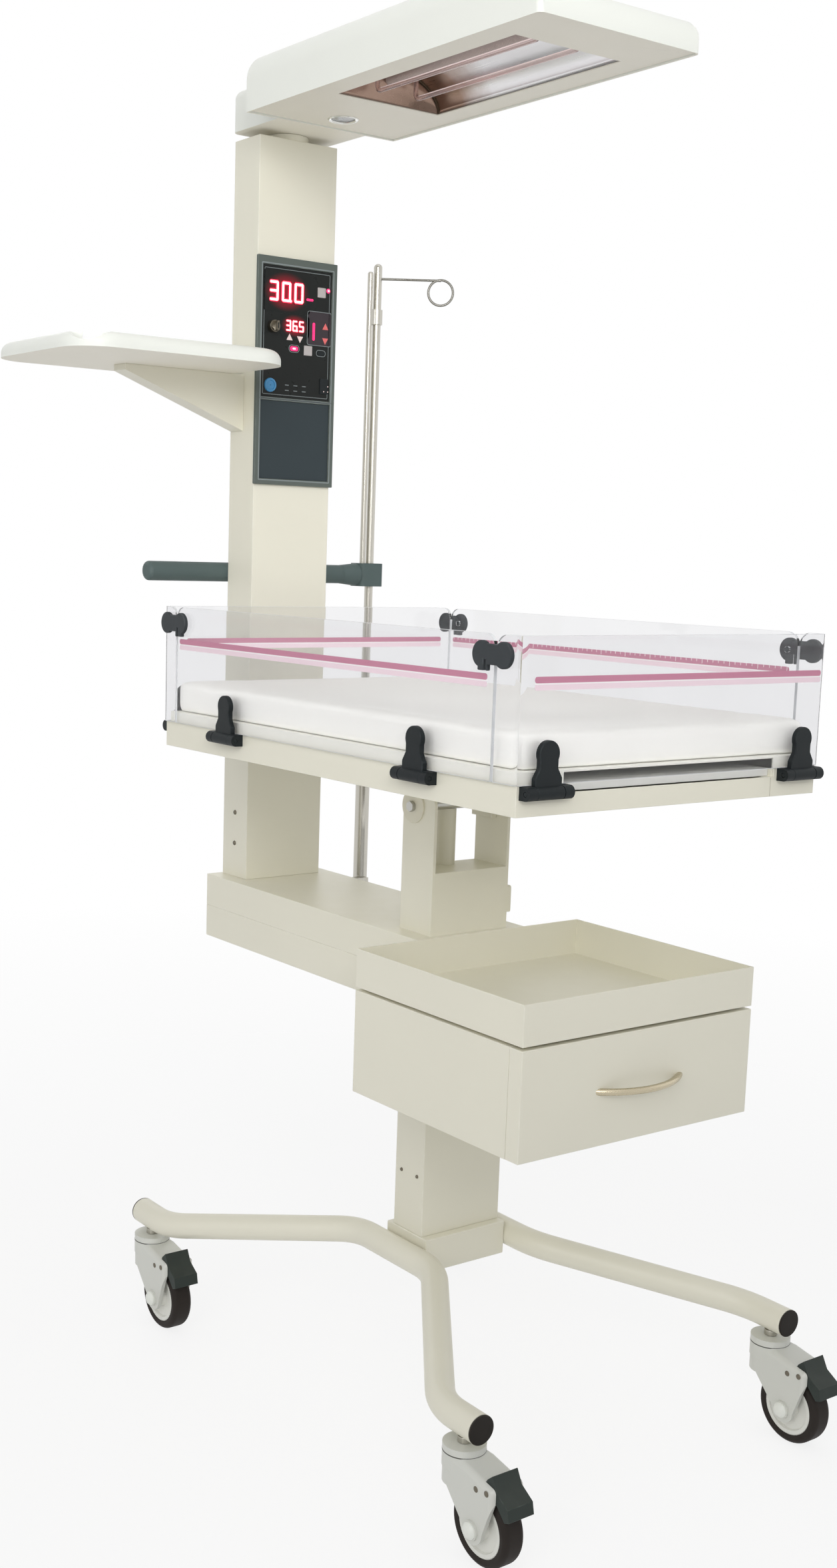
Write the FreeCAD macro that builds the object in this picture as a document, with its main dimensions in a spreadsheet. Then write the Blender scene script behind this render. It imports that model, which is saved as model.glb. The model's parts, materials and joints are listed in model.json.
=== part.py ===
import FreeCAD, Part

# An infant radiant warmer: four casters and two bent leg tubes carry a column, a beam and a tall rear
# column; a tilting bassinet with fold-down clear walls sits in front, an overhead heater above it.
# Millimetres, +Z up, the front faces -Y, and the origin is on the floor under the lower column's axis.

import math
import os
import re

import Sketcher

SIZES = {
    # Fits and sheet metal
    "running_fit": 0.05,
    "rest_gap": 0.3,
    "sheet": 2,
    # Casters
    "caster_half_track": 274,
    "caster_half_base": 383,
    "caster_trail": 49,
    "wheel_radius": 50,
    "tyre_width": 32,
    "tyre_depth": 10,
    "tyre_round": 6,
    "hub_recess": 2,
    "axle_radius": 5,
    "axle_cap_radius": 12,
    "axle_cap_height": 3,
    "wheel_room": 4,
    "fork_roof": 20,
    "fork_plate": 6,
    "fork_boss_radius": 18,
    "fork_shoulder_drop": 40,
    "fork_nose": 35,
    "fork_nose_drop": 10,
    "fork_nose_depth": 16,
    "fork_hood_round": 9,
    "swivel_disc_radius": 27,
    "swivel_disc_height": 9,
    "stem_radius": 6,
    "stem_collar_radius": 9,
    "stem_show": 8,
    "pedal_reach": 23,
    "pedal_rise": 8,
    "pedal_pin_radius": 3,
    "pedal_back": 6,
    "pedal_lip": 35,
    "pedal_lip_drop": 24,
    "pedal_lip_depth": 12,
    "pedal_height": 20,
    # Legs and base
    "leg_tube_radius": 19,
    "leg_tube_wall": 2,
    "leg_bend_radius": 90,
    "leg_rise": 40.8,
    "leg_knee": 90,
    "leg_end_run": 76,
    "leg_overhang": 28,
    "end_cap_plug": 9,
    "end_cap_flange": 3,
    "weld_gap": 0.2,
    "base_half_width": 72.8,
    "base_half_depth": 46,
    "base_height": 49.6,
    "base_wall": 4,
    # Columns and beam
    "column_half_width": 71.2,
    "column_wall": 2.5,
    "lower_column_half_depth": 32.7,
    "lower_column_height": 334.4,
    "beam_half_width": 97,
    "beam_height": 102,
    "beam_length": 561,
    "beam_overhang": 6,
    "rear_column_depth": 71,
    "rear_column_height": 1144,
    "spigot_radius": 30,
    "spigot_height": 42,
    "swivel_gap": 10,
    "swivel_ring": 4,
    "inlet_half_width": 24,
    "inlet_height": 31,
    "inlet_depth": 12,
    "inlet_wall": 5,
    # Tilt bracket
    "bracket_half_width": 69,
    "bracket_setback": 7,
    "bracket_depth": 70.7,
    "bracket_height": 89,
    "bracket_wall": 5,
    "pivot_rise": 89,
    "pivot_bolt_radius": 8,
    "pivot_washer_radius": 24,
    "pivot_inset": 24,
    "pivot_washer": 3,
    "pivot_head": 6,
    "cheek_top": 26,
    "post_radius": 16,
    "post_inset": 8,
    "lug_half_depth": 22,
    "lug_drop": 22,
    "lug_wall": 9.7,
    # Bassinet
    "bassinet_half_width": 260,
    "bassinet_length": 802,
    "column_clearance": 58,
    "wall_inset": 4,
    "pivot_to_tray": 54.5,
    "tray_height": 36.5,
    "tray_wall": 3,
    "slot_margin": 10,
    "deck_height": 51.5,
    "deck_inset": 3,
    "deck_sheet": 3,
    "mattress_thickness": 43.7,
    "mattress_inset": 4,
    "mattress_round": 12,
    "xray_slot": 11,
    "xray_inset": 2,
    "xray_rim": 10,
    "xray_front_gap": 2,
    "xray_rear_gap": 92,
    "xray_ledge": 12,
    # Clear walls, their hinges and latches
    "panel_thickness": 5,
    "panel_height": 169.7,
    "front_return": 44.5,
    "rear_return": 35.3,
    "panel_joint": 2,
    "panel_corner": 18,
    "hinge_spread": 218,
    "hinge_length": 69,
    "hinge_from_corner": 4,
    "hinge_plate": 2.5,
    "hinge_radius": 8,
    "hinge_pin_radius": 3,
    "flap_barrel": 41,
    "flap_shoulder_rise": 17,
    "flap_neck": 28,
    "flap_neck_rise": 28,
    "flap_head_radius": 15.5,
    "flap_head_rise": 45,
    "flap_thickness": 7.7,
    "latch_radius": 15.5,
    "latch_spread": 19,
    "latch_drop": 23.5,
    "latch_bar": 24,
    "latch_foot_back": 5,
    "latch_foot_reach": 12,
    "latch_foot_drop": 19,
    "latch_slit": 4,
    "latch_slit_height": 13,
    "latch_thickness": 6,
    "latch_peg_radius": 4,
    # Drawer unit
    "drawer_half_width": 200.7,
    "top_tray_height": 53,
    "top_tray_length": 341,
    "shadow_gap": 4,
    "shadow_inset": 12,
    "housing_height": 142,
    "drawer_front_depth": 24,
    "drawer_side_gap": 10,
    "drawer_rise": 10,
    "drawer_headroom": 18,
    "drawer_back_gap": 12,
    "ledge_width": 22,
    "ledge_height": 5,
    "handle_half_span": 75,
    "handle_bow": 23,
    "handle_radius": 4.5,
    # Push handle and infusion pole
    "push_height": 488,
    "push_radius": 15.2,
    "push_standoff": 3.3,
    "push_left_reach": 210,
    "push_right_reach": 193,
    "push_foot": 40,
    "clamp_width": 47,
    "clamp_depth": 36,
    "clamp_height": 38.5,
    "pole_offset": 29,
    "pole_radius": 7,
    "pole_above_clamp": 510,
    "pole_foot": 20,
    "stay_spacing": 15,
    "stay_radius": 4.5,
    "stay_below_top": 14,
    "guide_height": 24,
    "guide_drop": 60,
    "guide_wall": 2.5,
    "socket_wall": 5,
    "socket_length": 290,
    "socket_drop": 72,
    "socket_arm_height": 40,
    "socket_arm_depth": 12,
    "hook_drop": 24,
    "hook_reach": 105,
    "hook_turn": 36,
    "hook_wire_radius": 2,
    "hook_ring_radius": 20.5,
    # Side shelf
    "shelf_gap": 20,
    "shelf_length": 353,
    "shelf_width": 298,
    "shelf_height": 22,
    "shelf_floor": 5,
    "shelf_rim": 28,
    "shelf_corner": 60,
    "shelf_edge_round": 16,
    "shelf_drop": 351,
    "shelf_forward": 214,
    "shelf_notch_radius": 40,
    "shelf_notch_depth": 13,
    "bracket_arm_width": 36,
    "bracket_arm_length": 208,
    "bracket_arm_height": 86,
    "bracket_arm_tip": 9,
    "bracket_arm_rear": 2,
    # Control panel
    "control_drop": 175,
    "control_height": 343,
    "bezel_half_width": 73.5,
    "bezel_proud": 6,
    "bezel_border": 9,
    "bezel_top_border": 13,
    "display_height": 197,
    "bezel_bar": 5,
    "fascia_recess": 2,
    "button_half": 7.5,
    "button_proud": 1.5,
    "button_travel": 1,
    "mute_inset": 19.1,
    "mute_drop": 45,
    "mode_x": 22,
    "mode_drop": 135,
    "key_inset": 19.2,
    "key_drop": 104,
    "key_radius": 9,
    "key_depth": 9,
    "key_shaft_radius": 4,
    # Overhead heater
    "head_half_width": 134.5,
    "head_to_column": 60,
    "head_length": 640,
    "head_height": 84,
    "head_lift": 10,
    "head_wall": 3,
    "head_brow_height": 34,
    "head_brow_length": 129,
    "head_side_round": 40,
    "head_corner_round": 9,
    "head_brow_round": 45,
    "hub_half_width": 80,
    "hub_height": 62,
    "hub_rear": 3,
    "hub_round": 14,
    "underplate_recess": 2,
    "opening_half_width": 89,
    "opening_front_margin": 96,
    "opening_rear_margin": 167,
    "reflector_depth": 50,
    "reflector_slope": 29,
    "reflector_sheet": 1.5,
    "reflector_flange": 8,
    "element_radius": 8,
    "element_drop": 18,
    "guard_radius": 3.5,
    "guard_half_spacing": 34,
    "guard_rise": 8,
    "guard_inset": 18,
    "guard_bend_radius": 8,
    "lamp_radius": 20,
    "lamp_flange": 3,
    "lamp_height": 28,
    "lamp_rear_margin": 55,
    # Screws
    "screw_radius": 5,
    "screw_head": 2.5,
    "lower_screw_height": 86,
    "lower_screw_half_spacing": 18,
    "rear_screw_height": 55,
    "rear_screw_spacing": 50,
}

# Heights, from the floor up
SLOT_TOP = "(2 * wheel_radius + wheel_room)"
FORK_TOP = f"({SLOT_TOP} + fork_roof)"
DISC_TOP = f"({FORK_TOP} + swivel_disc_height)"
LEG_END_HEIGHT = f"({DISC_TOP} + stem_show + leg_tube_radius)"
LEG_MID_HEIGHT = f"({LEG_END_HEIGHT} + leg_rise)"
BASE_BOTTOM = f"({LEG_MID_HEIGHT} - base_height / 2)"
BASE_TOP = f"({LEG_MID_HEIGHT} + base_height / 2)"
BEAM_BOTTOM = f"({BASE_TOP} + lower_column_height)"
BEAM_SEAM = f"({BEAM_BOTTOM} + beam_height / 2)"
BEAM_TOP = f"({BEAM_BOTTOM} + beam_height)"
BRACKET_TOP = f"({BEAM_TOP} + bracket_height)"
PIVOT_HEIGHT = f"({BRACKET_TOP} + pivot_rise)"
TRAY_BOTTOM = f"({PIVOT_HEIGHT} + pivot_to_tray)"
TRAY_FLOOR = f"({TRAY_BOTTOM} + tray_wall)"
TRAY_RIM = f"({TRAY_BOTTOM} + tray_height)"
TRAY_LIP = f"({TRAY_RIM} - xray_slot)"
DECK_TOP = f"({TRAY_BOTTOM} + deck_height)"
PANEL_BOTTOM = f"({TRAY_RIM} + rest_gap)"
PANEL_TOP = f"({PANEL_BOTTOM} + panel_height)"
HINGE_HEIGHT = f"({TRAY_RIM} - rest_gap - hinge_radius)"
LATCH_HEIGHT = f"({PANEL_TOP} - latch_drop)"
COLUMN_TOP = f"({BEAM_TOP} + rear_column_height)"
HUB_BOTTOM = f"({COLUMN_TOP} + swivel_gap)"
HEAD_BOTTOM = f"({COLUMN_TOP} + head_lift)"
HEAD_TOP = f"({HEAD_BOTTOM} + head_height)"
UNDERPLATE = f"({HEAD_BOTTOM} + underplate_recess)"
UNDERPLATE_TOP = f"({UNDERPLATE} + sheet)"
PUSH_HEIGHT = f"({BEAM_TOP} + push_height)"
CLAMP_BOTTOM = f"({PUSH_HEIGHT} - clamp_height / 2)"
POLE_TOP = f"({PUSH_HEIGHT} + pole_above_clamp)"
SOCKET_BOTTOM = f"({BEAM_TOP} - socket_drop)"
SHELF_BOTTOM = f"({COLUMN_TOP} - shelf_drop)"
SHELF_TOP = f"({SHELF_BOTTOM} + shelf_height)"
CONTROL_TOP = f"({COLUMN_TOP} - control_drop)"
CONTROL_BOTTOM = f"({CONTROL_TOP} - control_height)"
DISPLAY_TOP = f"({CONTROL_TOP} - bezel_top_border)"
DISPLAY_BOTTOM = f"({DISPLAY_TOP} - display_height)"
TOP_TRAY_BOTTOM = f"({BEAM_TOP} - top_tray_height)"
HOUSING_TOP = f"({TOP_TRAY_BOTTOM} - shadow_gap)"
HOUSING_BOTTOM = f"({HOUSING_TOP} - housing_height)"
DRAWER_FLOOR = f"({HOUSING_BOTTOM} + sheet + drawer_rise)"

# Depths, from the front to the rear
BEAM_FRONT = "(-lower_column_half_depth)"
BEAM_REAR = f"({BEAM_FRONT} + beam_length)"
COLUMN_REAR = f"({BEAM_REAR} - beam_overhang)"
COLUMN_FRONT = f"({COLUMN_REAR} - rear_column_depth)"
COLUMN_AXIS = f"({COLUMN_REAR} - rear_column_depth / 2)"
BRACKET_FRONT = f"({BEAM_FRONT} + bracket_setback)"
BRACKET_REAR = f"({BRACKET_FRONT} + bracket_depth)"
PIVOT_DEPTH = f"({BRACKET_REAR} - pivot_inset)"
PANEL_REAR = f"({COLUMN_FRONT} - column_clearance)"
PANEL_FRONT = f"({PANEL_REAR} - bassinet_length)"
PANEL_MIDDLE = f"(({PANEL_REAR} + {PANEL_FRONT}) / 2)"
SIDE_FRONT = f"({PANEL_FRONT} + front_return + panel_joint)"
SIDE_REAR = f"({PANEL_REAR} - rear_return - panel_joint)"
TRAY_FRONT = f"({PANEL_FRONT} + wall_inset)"
TRAY_REAR = f"({PANEL_REAR} - wall_inset)"
UNIT_FRONT = f"({BEAM_FRONT} - top_tray_length)"
HOUSING_FRONT = f"({UNIT_FRONT} + drawer_front_depth + rest_gap)"
PUSH_DEPTH = f"({COLUMN_REAR} + push_standoff + push_radius)"
BEZEL_FRONT = f"({COLUMN_FRONT} - bezel_proud)"
FASCIA_FRONT = f"({BEZEL_FRONT} + fascia_recess)"
HEAD_REAR = f"({COLUMN_FRONT} - head_to_column)"
HEAD_FRONT = f"({HEAD_REAR} - head_length)"
HUB_REAR = f"({COLUMN_REAR} - hub_rear)"
OPENING_REAR = f"({HEAD_REAR} - opening_rear_margin)"
OPENING_FRONT = f"({HEAD_FRONT} + opening_front_margin)"
SHELF_FRONT = f"({COLUMN_REAR} - shelf_forward)"
ARM_REAR = f"({COLUMN_REAR} - bracket_arm_rear)"

# Widths, from the middle outwards
LEG_MID_REACH = "(base_half_width + leg_tube_radius + weld_gap)"
LEG_END = "(caster_half_base + leg_overhang)"
FORK_HALF_GAP = "(tyre_width / 2 + wheel_room)"
FORK_HALF_WIDTH = f"({FORK_HALF_GAP} + fork_plate)"
TRAY_HALF_WIDTH = "(bassinet_half_width - wall_inset)"
DECK_HALF_WIDTH = f"({TRAY_HALF_WIDTH} - tray_wall - deck_inset)"
SLOT_HALF_WIDTH = f"({TRAY_HALF_WIDTH} - hinge_length - slot_margin)"
XRAY_HALF_WIDTH = f"({SLOT_HALF_WIDTH} - xray_inset)"
HINGE_STANDOFF = "(hinge_plate + hinge_radius + rest_gap)"
CHEEK_INSIDE = "(bracket_half_width - bracket_wall)"
CLAMP_FAR = "(push_right_reach + clamp_width)"
POLE_REACH = "(push_right_reach + pole_offset)"
STAY_REACH = f"({POLE_REACH} - stay_spacing)"
SHELF_NEAR = "(-(column_half_width + shelf_gap))"
SHELF_FAR = f"({SHELF_NEAR} - shelf_length)"
WINDOW_HALF_WIDTH = "(bezel_half_width - bezel_border)"
DRAWER_BOX_HALF_WIDTH = "(drawer_half_width - sheet - drawer_side_gap)"

DOC = FreeCAD.newDocument("infant_warmer")
SHEET = DOC.addObject("Spreadsheet::Sheet", "Sizes")
NODES = []

AXES = {"x": FreeCAD.Vector(1, 0, 0), "y": FreeCAD.Vector(0, 1, 0), "z": FreeCAD.Vector(0, 0, 1)}
EDGE_TOLERANCE = 1e-4
TURNS = {
    "x": FreeCAD.Rotation(FreeCAD.Vector(0, 1, 0), 90),
    "y": FreeCAD.Rotation(FreeCAD.Vector(1, 0, 0), -90),
    "z": FreeCAD.Rotation(),
}
SKETCH_PLANES = {"x": ("YZ_Plane", 1), "y": ("XZ_Plane", -1), "z": ("XY_Plane", 1)}


def fill_sheet():
    """Write each size into the sheet, with its name as the cell's alias."""
    for row, (name, size) in enumerate(SIZES.items(), start=1):
        SHEET.set(f"A{row}", name)
        SHEET.set(f"B{row}", str(size))
        SHEET.setAlias(f"B{row}", name)
    DOC.recompute()


def bound(text):
    """Point every size's name in an expression at its cell."""
    def cell(match):
        word = match.group()
        return f"Sizes.{word}" if word in SIZES else word
    return re.sub(r"[a-z_]+", cell, str(text))


def value(text):
    """Work out an expression from the sheet's present numbers."""
    return float(SHEET.evalExpression(bound(text)))


def point(x, y, z):
    """A vector from three expressions."""
    return FreeCAD.Vector(value(x), value(y), value(z))


def outward(sign, near, far):
    """The span from near to far, on the left (sign -1) or the right (sign 1)."""
    if sign > 0:
        return near, far
    return f"-({far})", f"-({near})"


def about(middle, half):
    """The span of a given half size about a middle."""
    return f"({middle}) - ({half})", f"({middle}) + ({half})"


def centred(half):
    """The span of a given half size about the middle plane."""
    return f"-({half})", f"({half})"


def parallel(axis):
    """A test for straight edges along an axis."""
    def test(edge):
        if edge.Curve.TypeId != "Part::GeomLine":
            return False
        return abs(abs(edge.tangentAt(edge.FirstParameter).dot(AXES[axis])) - 1) < 1e-6
    return test


def lies_at(axis, place):
    """A test for edges that lie wholly at one coordinate."""
    level = value(place)

    def test(edge):
        box = edge.BoundBox
        low = getattr(box, axis.upper() + "Min")
        high = getattr(box, axis.upper() + "Max")
        return max(abs(low - level), abs(high - level)) < EDGE_TOLERANCE
    return test


def above(axis, place):
    """A test for edges whose ends lie above a place on an axis."""
    level = value(place)

    def test(edge):
        return all(vertex.Point.dot(AXES[axis]) > level for vertex in edge.Vertexes)

    return test


def both(*tests):
    """A test that asks for all of several tests."""
    return lambda edge: all(test(edge) for test in tests)


def either(*tests):
    """A test that asks for one of several tests."""
    return lambda edge: any(test(edge) for test in tests)


def circular(edge):
    """A test for round edges."""
    return edge.Curve.TypeId == "Part::GeomCircle"


def any_edge(edge):
    """A test that every edge passes."""
    return True


def publish(item, label):
    """Name an object as a finished sub-part."""
    item.Label = label
    NODES.append(item)
    return item


class Piece:
    """One solid, built up feature by feature in its own body, with sizes bound to the sheet."""

    def __init__(self, name):
        self.name = name
        self.body = DOC.addObject("PartDesign::Body", f"{name}_body")

    def box(self, x, y, z, cut=False):
        """Add or cut a box between a low and a high expression on each axis."""
        kind = "PartDesign::SubtractiveBox" if cut else "PartDesign::AdditiveBox"
        item = self.body.newObject(kind, f"{self.name}_block")
        for size, axis, (low, high) in zip(("Length", "Width", "Height"), "xyz", (x, y, z)):
            item.setExpression(size, bound(f"({high}) - ({low})"))
            item.setExpression(f"Placement.Base.{axis}", bound(low))
        return self

    def rod(self, axis, across, radius, span, cut=False):
        """Add or cut a cylinder along an axis; across gives its other two coordinates in order."""
        kind = "PartDesign::SubtractiveCylinder" if cut else "PartDesign::AdditiveCylinder"
        item = self.body.newObject(kind, f"{self.name}_round")
        item.Placement = FreeCAD.Placement(FreeCAD.Vector(), TURNS[axis])
        low, high = span
        item.setExpression("Radius", bound(radius))
        item.setExpression("Height", bound(f"({high}) - ({low})"))
        places = dict(zip([other for other in "xyz" if other != axis], across))
        places[axis] = low
        for other, place in places.items():
            item.setExpression(f"Placement.Base.{other}", bound(place))
        return self

    def groove(self, start, turn, radius, length):
        """Cut a level cylinder that runs from a point, turned in plan by some degrees."""
        item = self.body.newObject("PartDesign::SubtractiveCylinder", f"{self.name}_groove")
        level = FreeCAD.Rotation(AXES["z"], turn).multiply(TURNS["x"])
        item.Placement = FreeCAD.Placement(FreeCAD.Vector(), level)
        item.setExpression("Radius", bound(radius))
        item.setExpression("Height", bound(length))
        for axis, place in zip("xyz", start):
            item.setExpression(f"Placement.Base.{axis}", bound(place))
        return self

    def ring(self, axis, centre, radius, thickness):
        """Add a torus about an axis."""
        item = self.body.newObject("PartDesign::AdditiveTorus", f"{self.name}_ring")
        item.Placement = FreeCAD.Placement(FreeCAD.Vector(), TURNS[axis])
        item.setExpression("Radius1", bound(radius))
        item.setExpression("Radius2", bound(thickness))
        for other, place in zip("xyz", centre):
            item.setExpression(f"Placement.Base.{other}", bound(place))
        return self

    def profile(self, axis, corners, span, cut=False):
        """Pad or pocket a straight-sided outline along an axis, from the low to the high expression."""
        role, direction = SKETCH_PLANES[axis]
        low, high = span
        sketch = self.body.newObject("Sketcher::SketchObject", f"{self.name}_outline")
        plane = next(item for item in self.body.Origin.OriginFeatures if item.Role == role)
        sketch.AttachmentSupport = [(plane, "")]
        sketch.MapMode = "FlatFace"
        start = low if direction > 0 else high
        sketch.setExpression("AttachmentOffset.Base.z", bound(f"{direction} * ({start})"))
        spots = [FreeCAD.Vector(value(first), value(second), 0) for first, second in corners]
        count = len(spots)
        for index, spot in enumerate(spots):
            sketch.addGeometry(Part.LineSegment(spot, spots[(index + 1) % count]))
        for index in range(count):
            sketch.addConstraint(Sketcher.Constraint("Coincident", index, 2, (index + 1) % count, 1))
        for index, (spot, texts) in enumerate(zip(spots, corners)):
            for kind, size, text in zip(("DistanceX", "DistanceY"), (spot.x, spot.y), texts):
                rule = sketch.addConstraint(Sketcher.Constraint(kind, -1, 1, index, 1, size))
                sketch.setExpression(f"Constraints[{rule}]", bound(text))
        kind = "PartDesign::Pocket" if cut else "PartDesign::Pad"
        item = self.body.newObject(kind, f"{self.name}_run")
        item.Profile = sketch
        item.Reversed = cut
        item.setExpression("Length", bound(f"({high}) - ({low})"))
        return self

    def fillet(self, radius, test):
        """Round every edge that passes a test."""
        DOC.recompute()
        base = self.body.Tip
        names = [f"Edge{number}" for number, edge in enumerate(base.Shape.Edges, start=1) if test(edge)]
        item = self.body.newObject("PartDesign::Fillet", f"{self.name}_fillet")
        item.Base = (base, names)
        item.setExpression("Radius", bound(radius))
        return self

    def place(self, x, y, turn):
        """Move the whole body in plan and turn it about the vertical, in degrees."""
        self.body.Placement = FreeCAD.Placement(FreeCAD.Vector(), FreeCAD.Rotation(AXES["z"], turn))
        self.body.setExpression("Placement.Base.x", bound(x))
        self.body.setExpression("Placement.Base.y", bound(y))
        return self

    def publish(self):
        """Name the body as a finished sub-part."""
        publish(self.body, self.name)
        return self


def group(label, pieces):
    """Several separate solids of one kind as one sub-part."""
    item = DOC.addObject("Part::Compound", f"{label}_group")
    item.Links = [piece.body for piece in pieces]
    return publish(item, label)


def coded(label, shape):
    """A sub-part whose shape is worked out in code, from the sheet's numbers."""
    item = DOC.addObject("Part::Feature", f"{label}_shape")
    item.Shape = shape
    item.Placement = FreeCAD.Placement()
    return publish(item, label)


def bent_path(corners, bend):
    """Straight runs joined by tangent arcs, as one wire."""
    edges = []
    start = corners[0]
    for before, corner, after in zip(corners, corners[1:], corners[2:]):
        into = (corner - before).normalize()
        away = (after - corner).normalize()
        half_turn = into.getAngle(away) / 2
        reach = bend * math.tan(half_turn)
        arc_start = corner - into * reach
        arc_end = corner + away * reach
        inward = (away - into).normalize()
        arc_middle = corner + inward * (bend / math.cos(half_turn) - bend)
        edges.append(Part.LineSegment(start, arc_start).toShape())
        edges.append(Part.Arc(arc_start, arc_middle, arc_end).toShape())
        start = arc_end
    edges.append(Part.LineSegment(start, corners[-1]).toShape())
    return Part.Wire(edges)


def round_bar(path, radius):
    """A round bar swept along a wire."""
    first = path.Edges[0]
    begin = first.FirstParameter
    circle = Part.Circle(first.valueAt(begin), first.tangentAt(begin), radius)
    return path.makePipeShell([Part.Wire([circle.toShape()])], True, False)


def leg_tubes():
    """Two bent tubes, each run from its front caster past the base to its rear caster."""
    radius = value("leg_tube_radius")
    inner = radius - value("leg_tube_wall")
    knee_end = f"({LEG_END} - leg_end_run)"
    for name, side in (("left_leg_tube", -1), ("right_leg_tube", 1)):
        far = f"{side} * caster_half_track"
        near = f"{side} * {LEG_MID_REACH}"
        corners = [
            point(far, f"-{LEG_END}", LEG_END_HEIGHT),
            point(far, f"-{knee_end}", LEG_END_HEIGHT),
            point(near, "-leg_knee", LEG_MID_HEIGHT),
            point(near, "leg_knee", LEG_MID_HEIGHT),
            point(far, knee_end, LEG_END_HEIGHT),
            point(far, LEG_END, LEG_END_HEIGHT),
        ]
        path = bent_path(corners, value("leg_bend_radius"))
        tube = round_bar(path, radius).cut(round_bar(path, inner))
        for end in (-1, 1):
            mouth = point(far, f"{end} * caster_half_base", DISC_TOP)
            depth = value(f"{LEG_END_HEIGHT} - {DISC_TOP}")
            tube = tube.cut(Part.makeCylinder(value("stem_radius + running_fit"), depth, mouth))
        coded(name, tube)


def leg_end_caps():
    """Four plugs that close the leg tubes."""
    caps = []
    for side in (-1, 1):
        for end in (-1, 1):
            across = (f"{side} * caster_half_track", LEG_END_HEIGHT)
            flange = outward(end, LEG_END, f"{LEG_END} + end_cap_flange")
            plug = outward(end, f"{LEG_END} - end_cap_plug", LEG_END)
            cap = Piece("leg_end_cap")
            cap.rod("y", across, "leg_tube_radius", flange)
            cap.rod("y", across, "leg_tube_radius - leg_tube_wall - running_fit", plug)
            caps.append(cap)
    group("leg_end_caps", caps)


def caster_stems():
    """Four pins that hold the casters in the leg tubes and let them swivel."""
    stems = []
    for side in (-1, 1):
        for end in (-1, 1):
            across = (f"{side} * caster_half_track", f"{end} * caster_half_base")
            collar = (f"{DISC_TOP} + rest_gap", f"{DISC_TOP} + stem_show - running_fit")
            stem = Piece("caster_stem")
            stem.rod("z", across, "stem_radius", (f"{SLOT_TOP} + wheel_room", LEG_END_HEIGHT))
            stem.rod("z", across, "stem_collar_radius", collar)
            stems.append(stem)
    group("caster_stems", stems)


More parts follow.
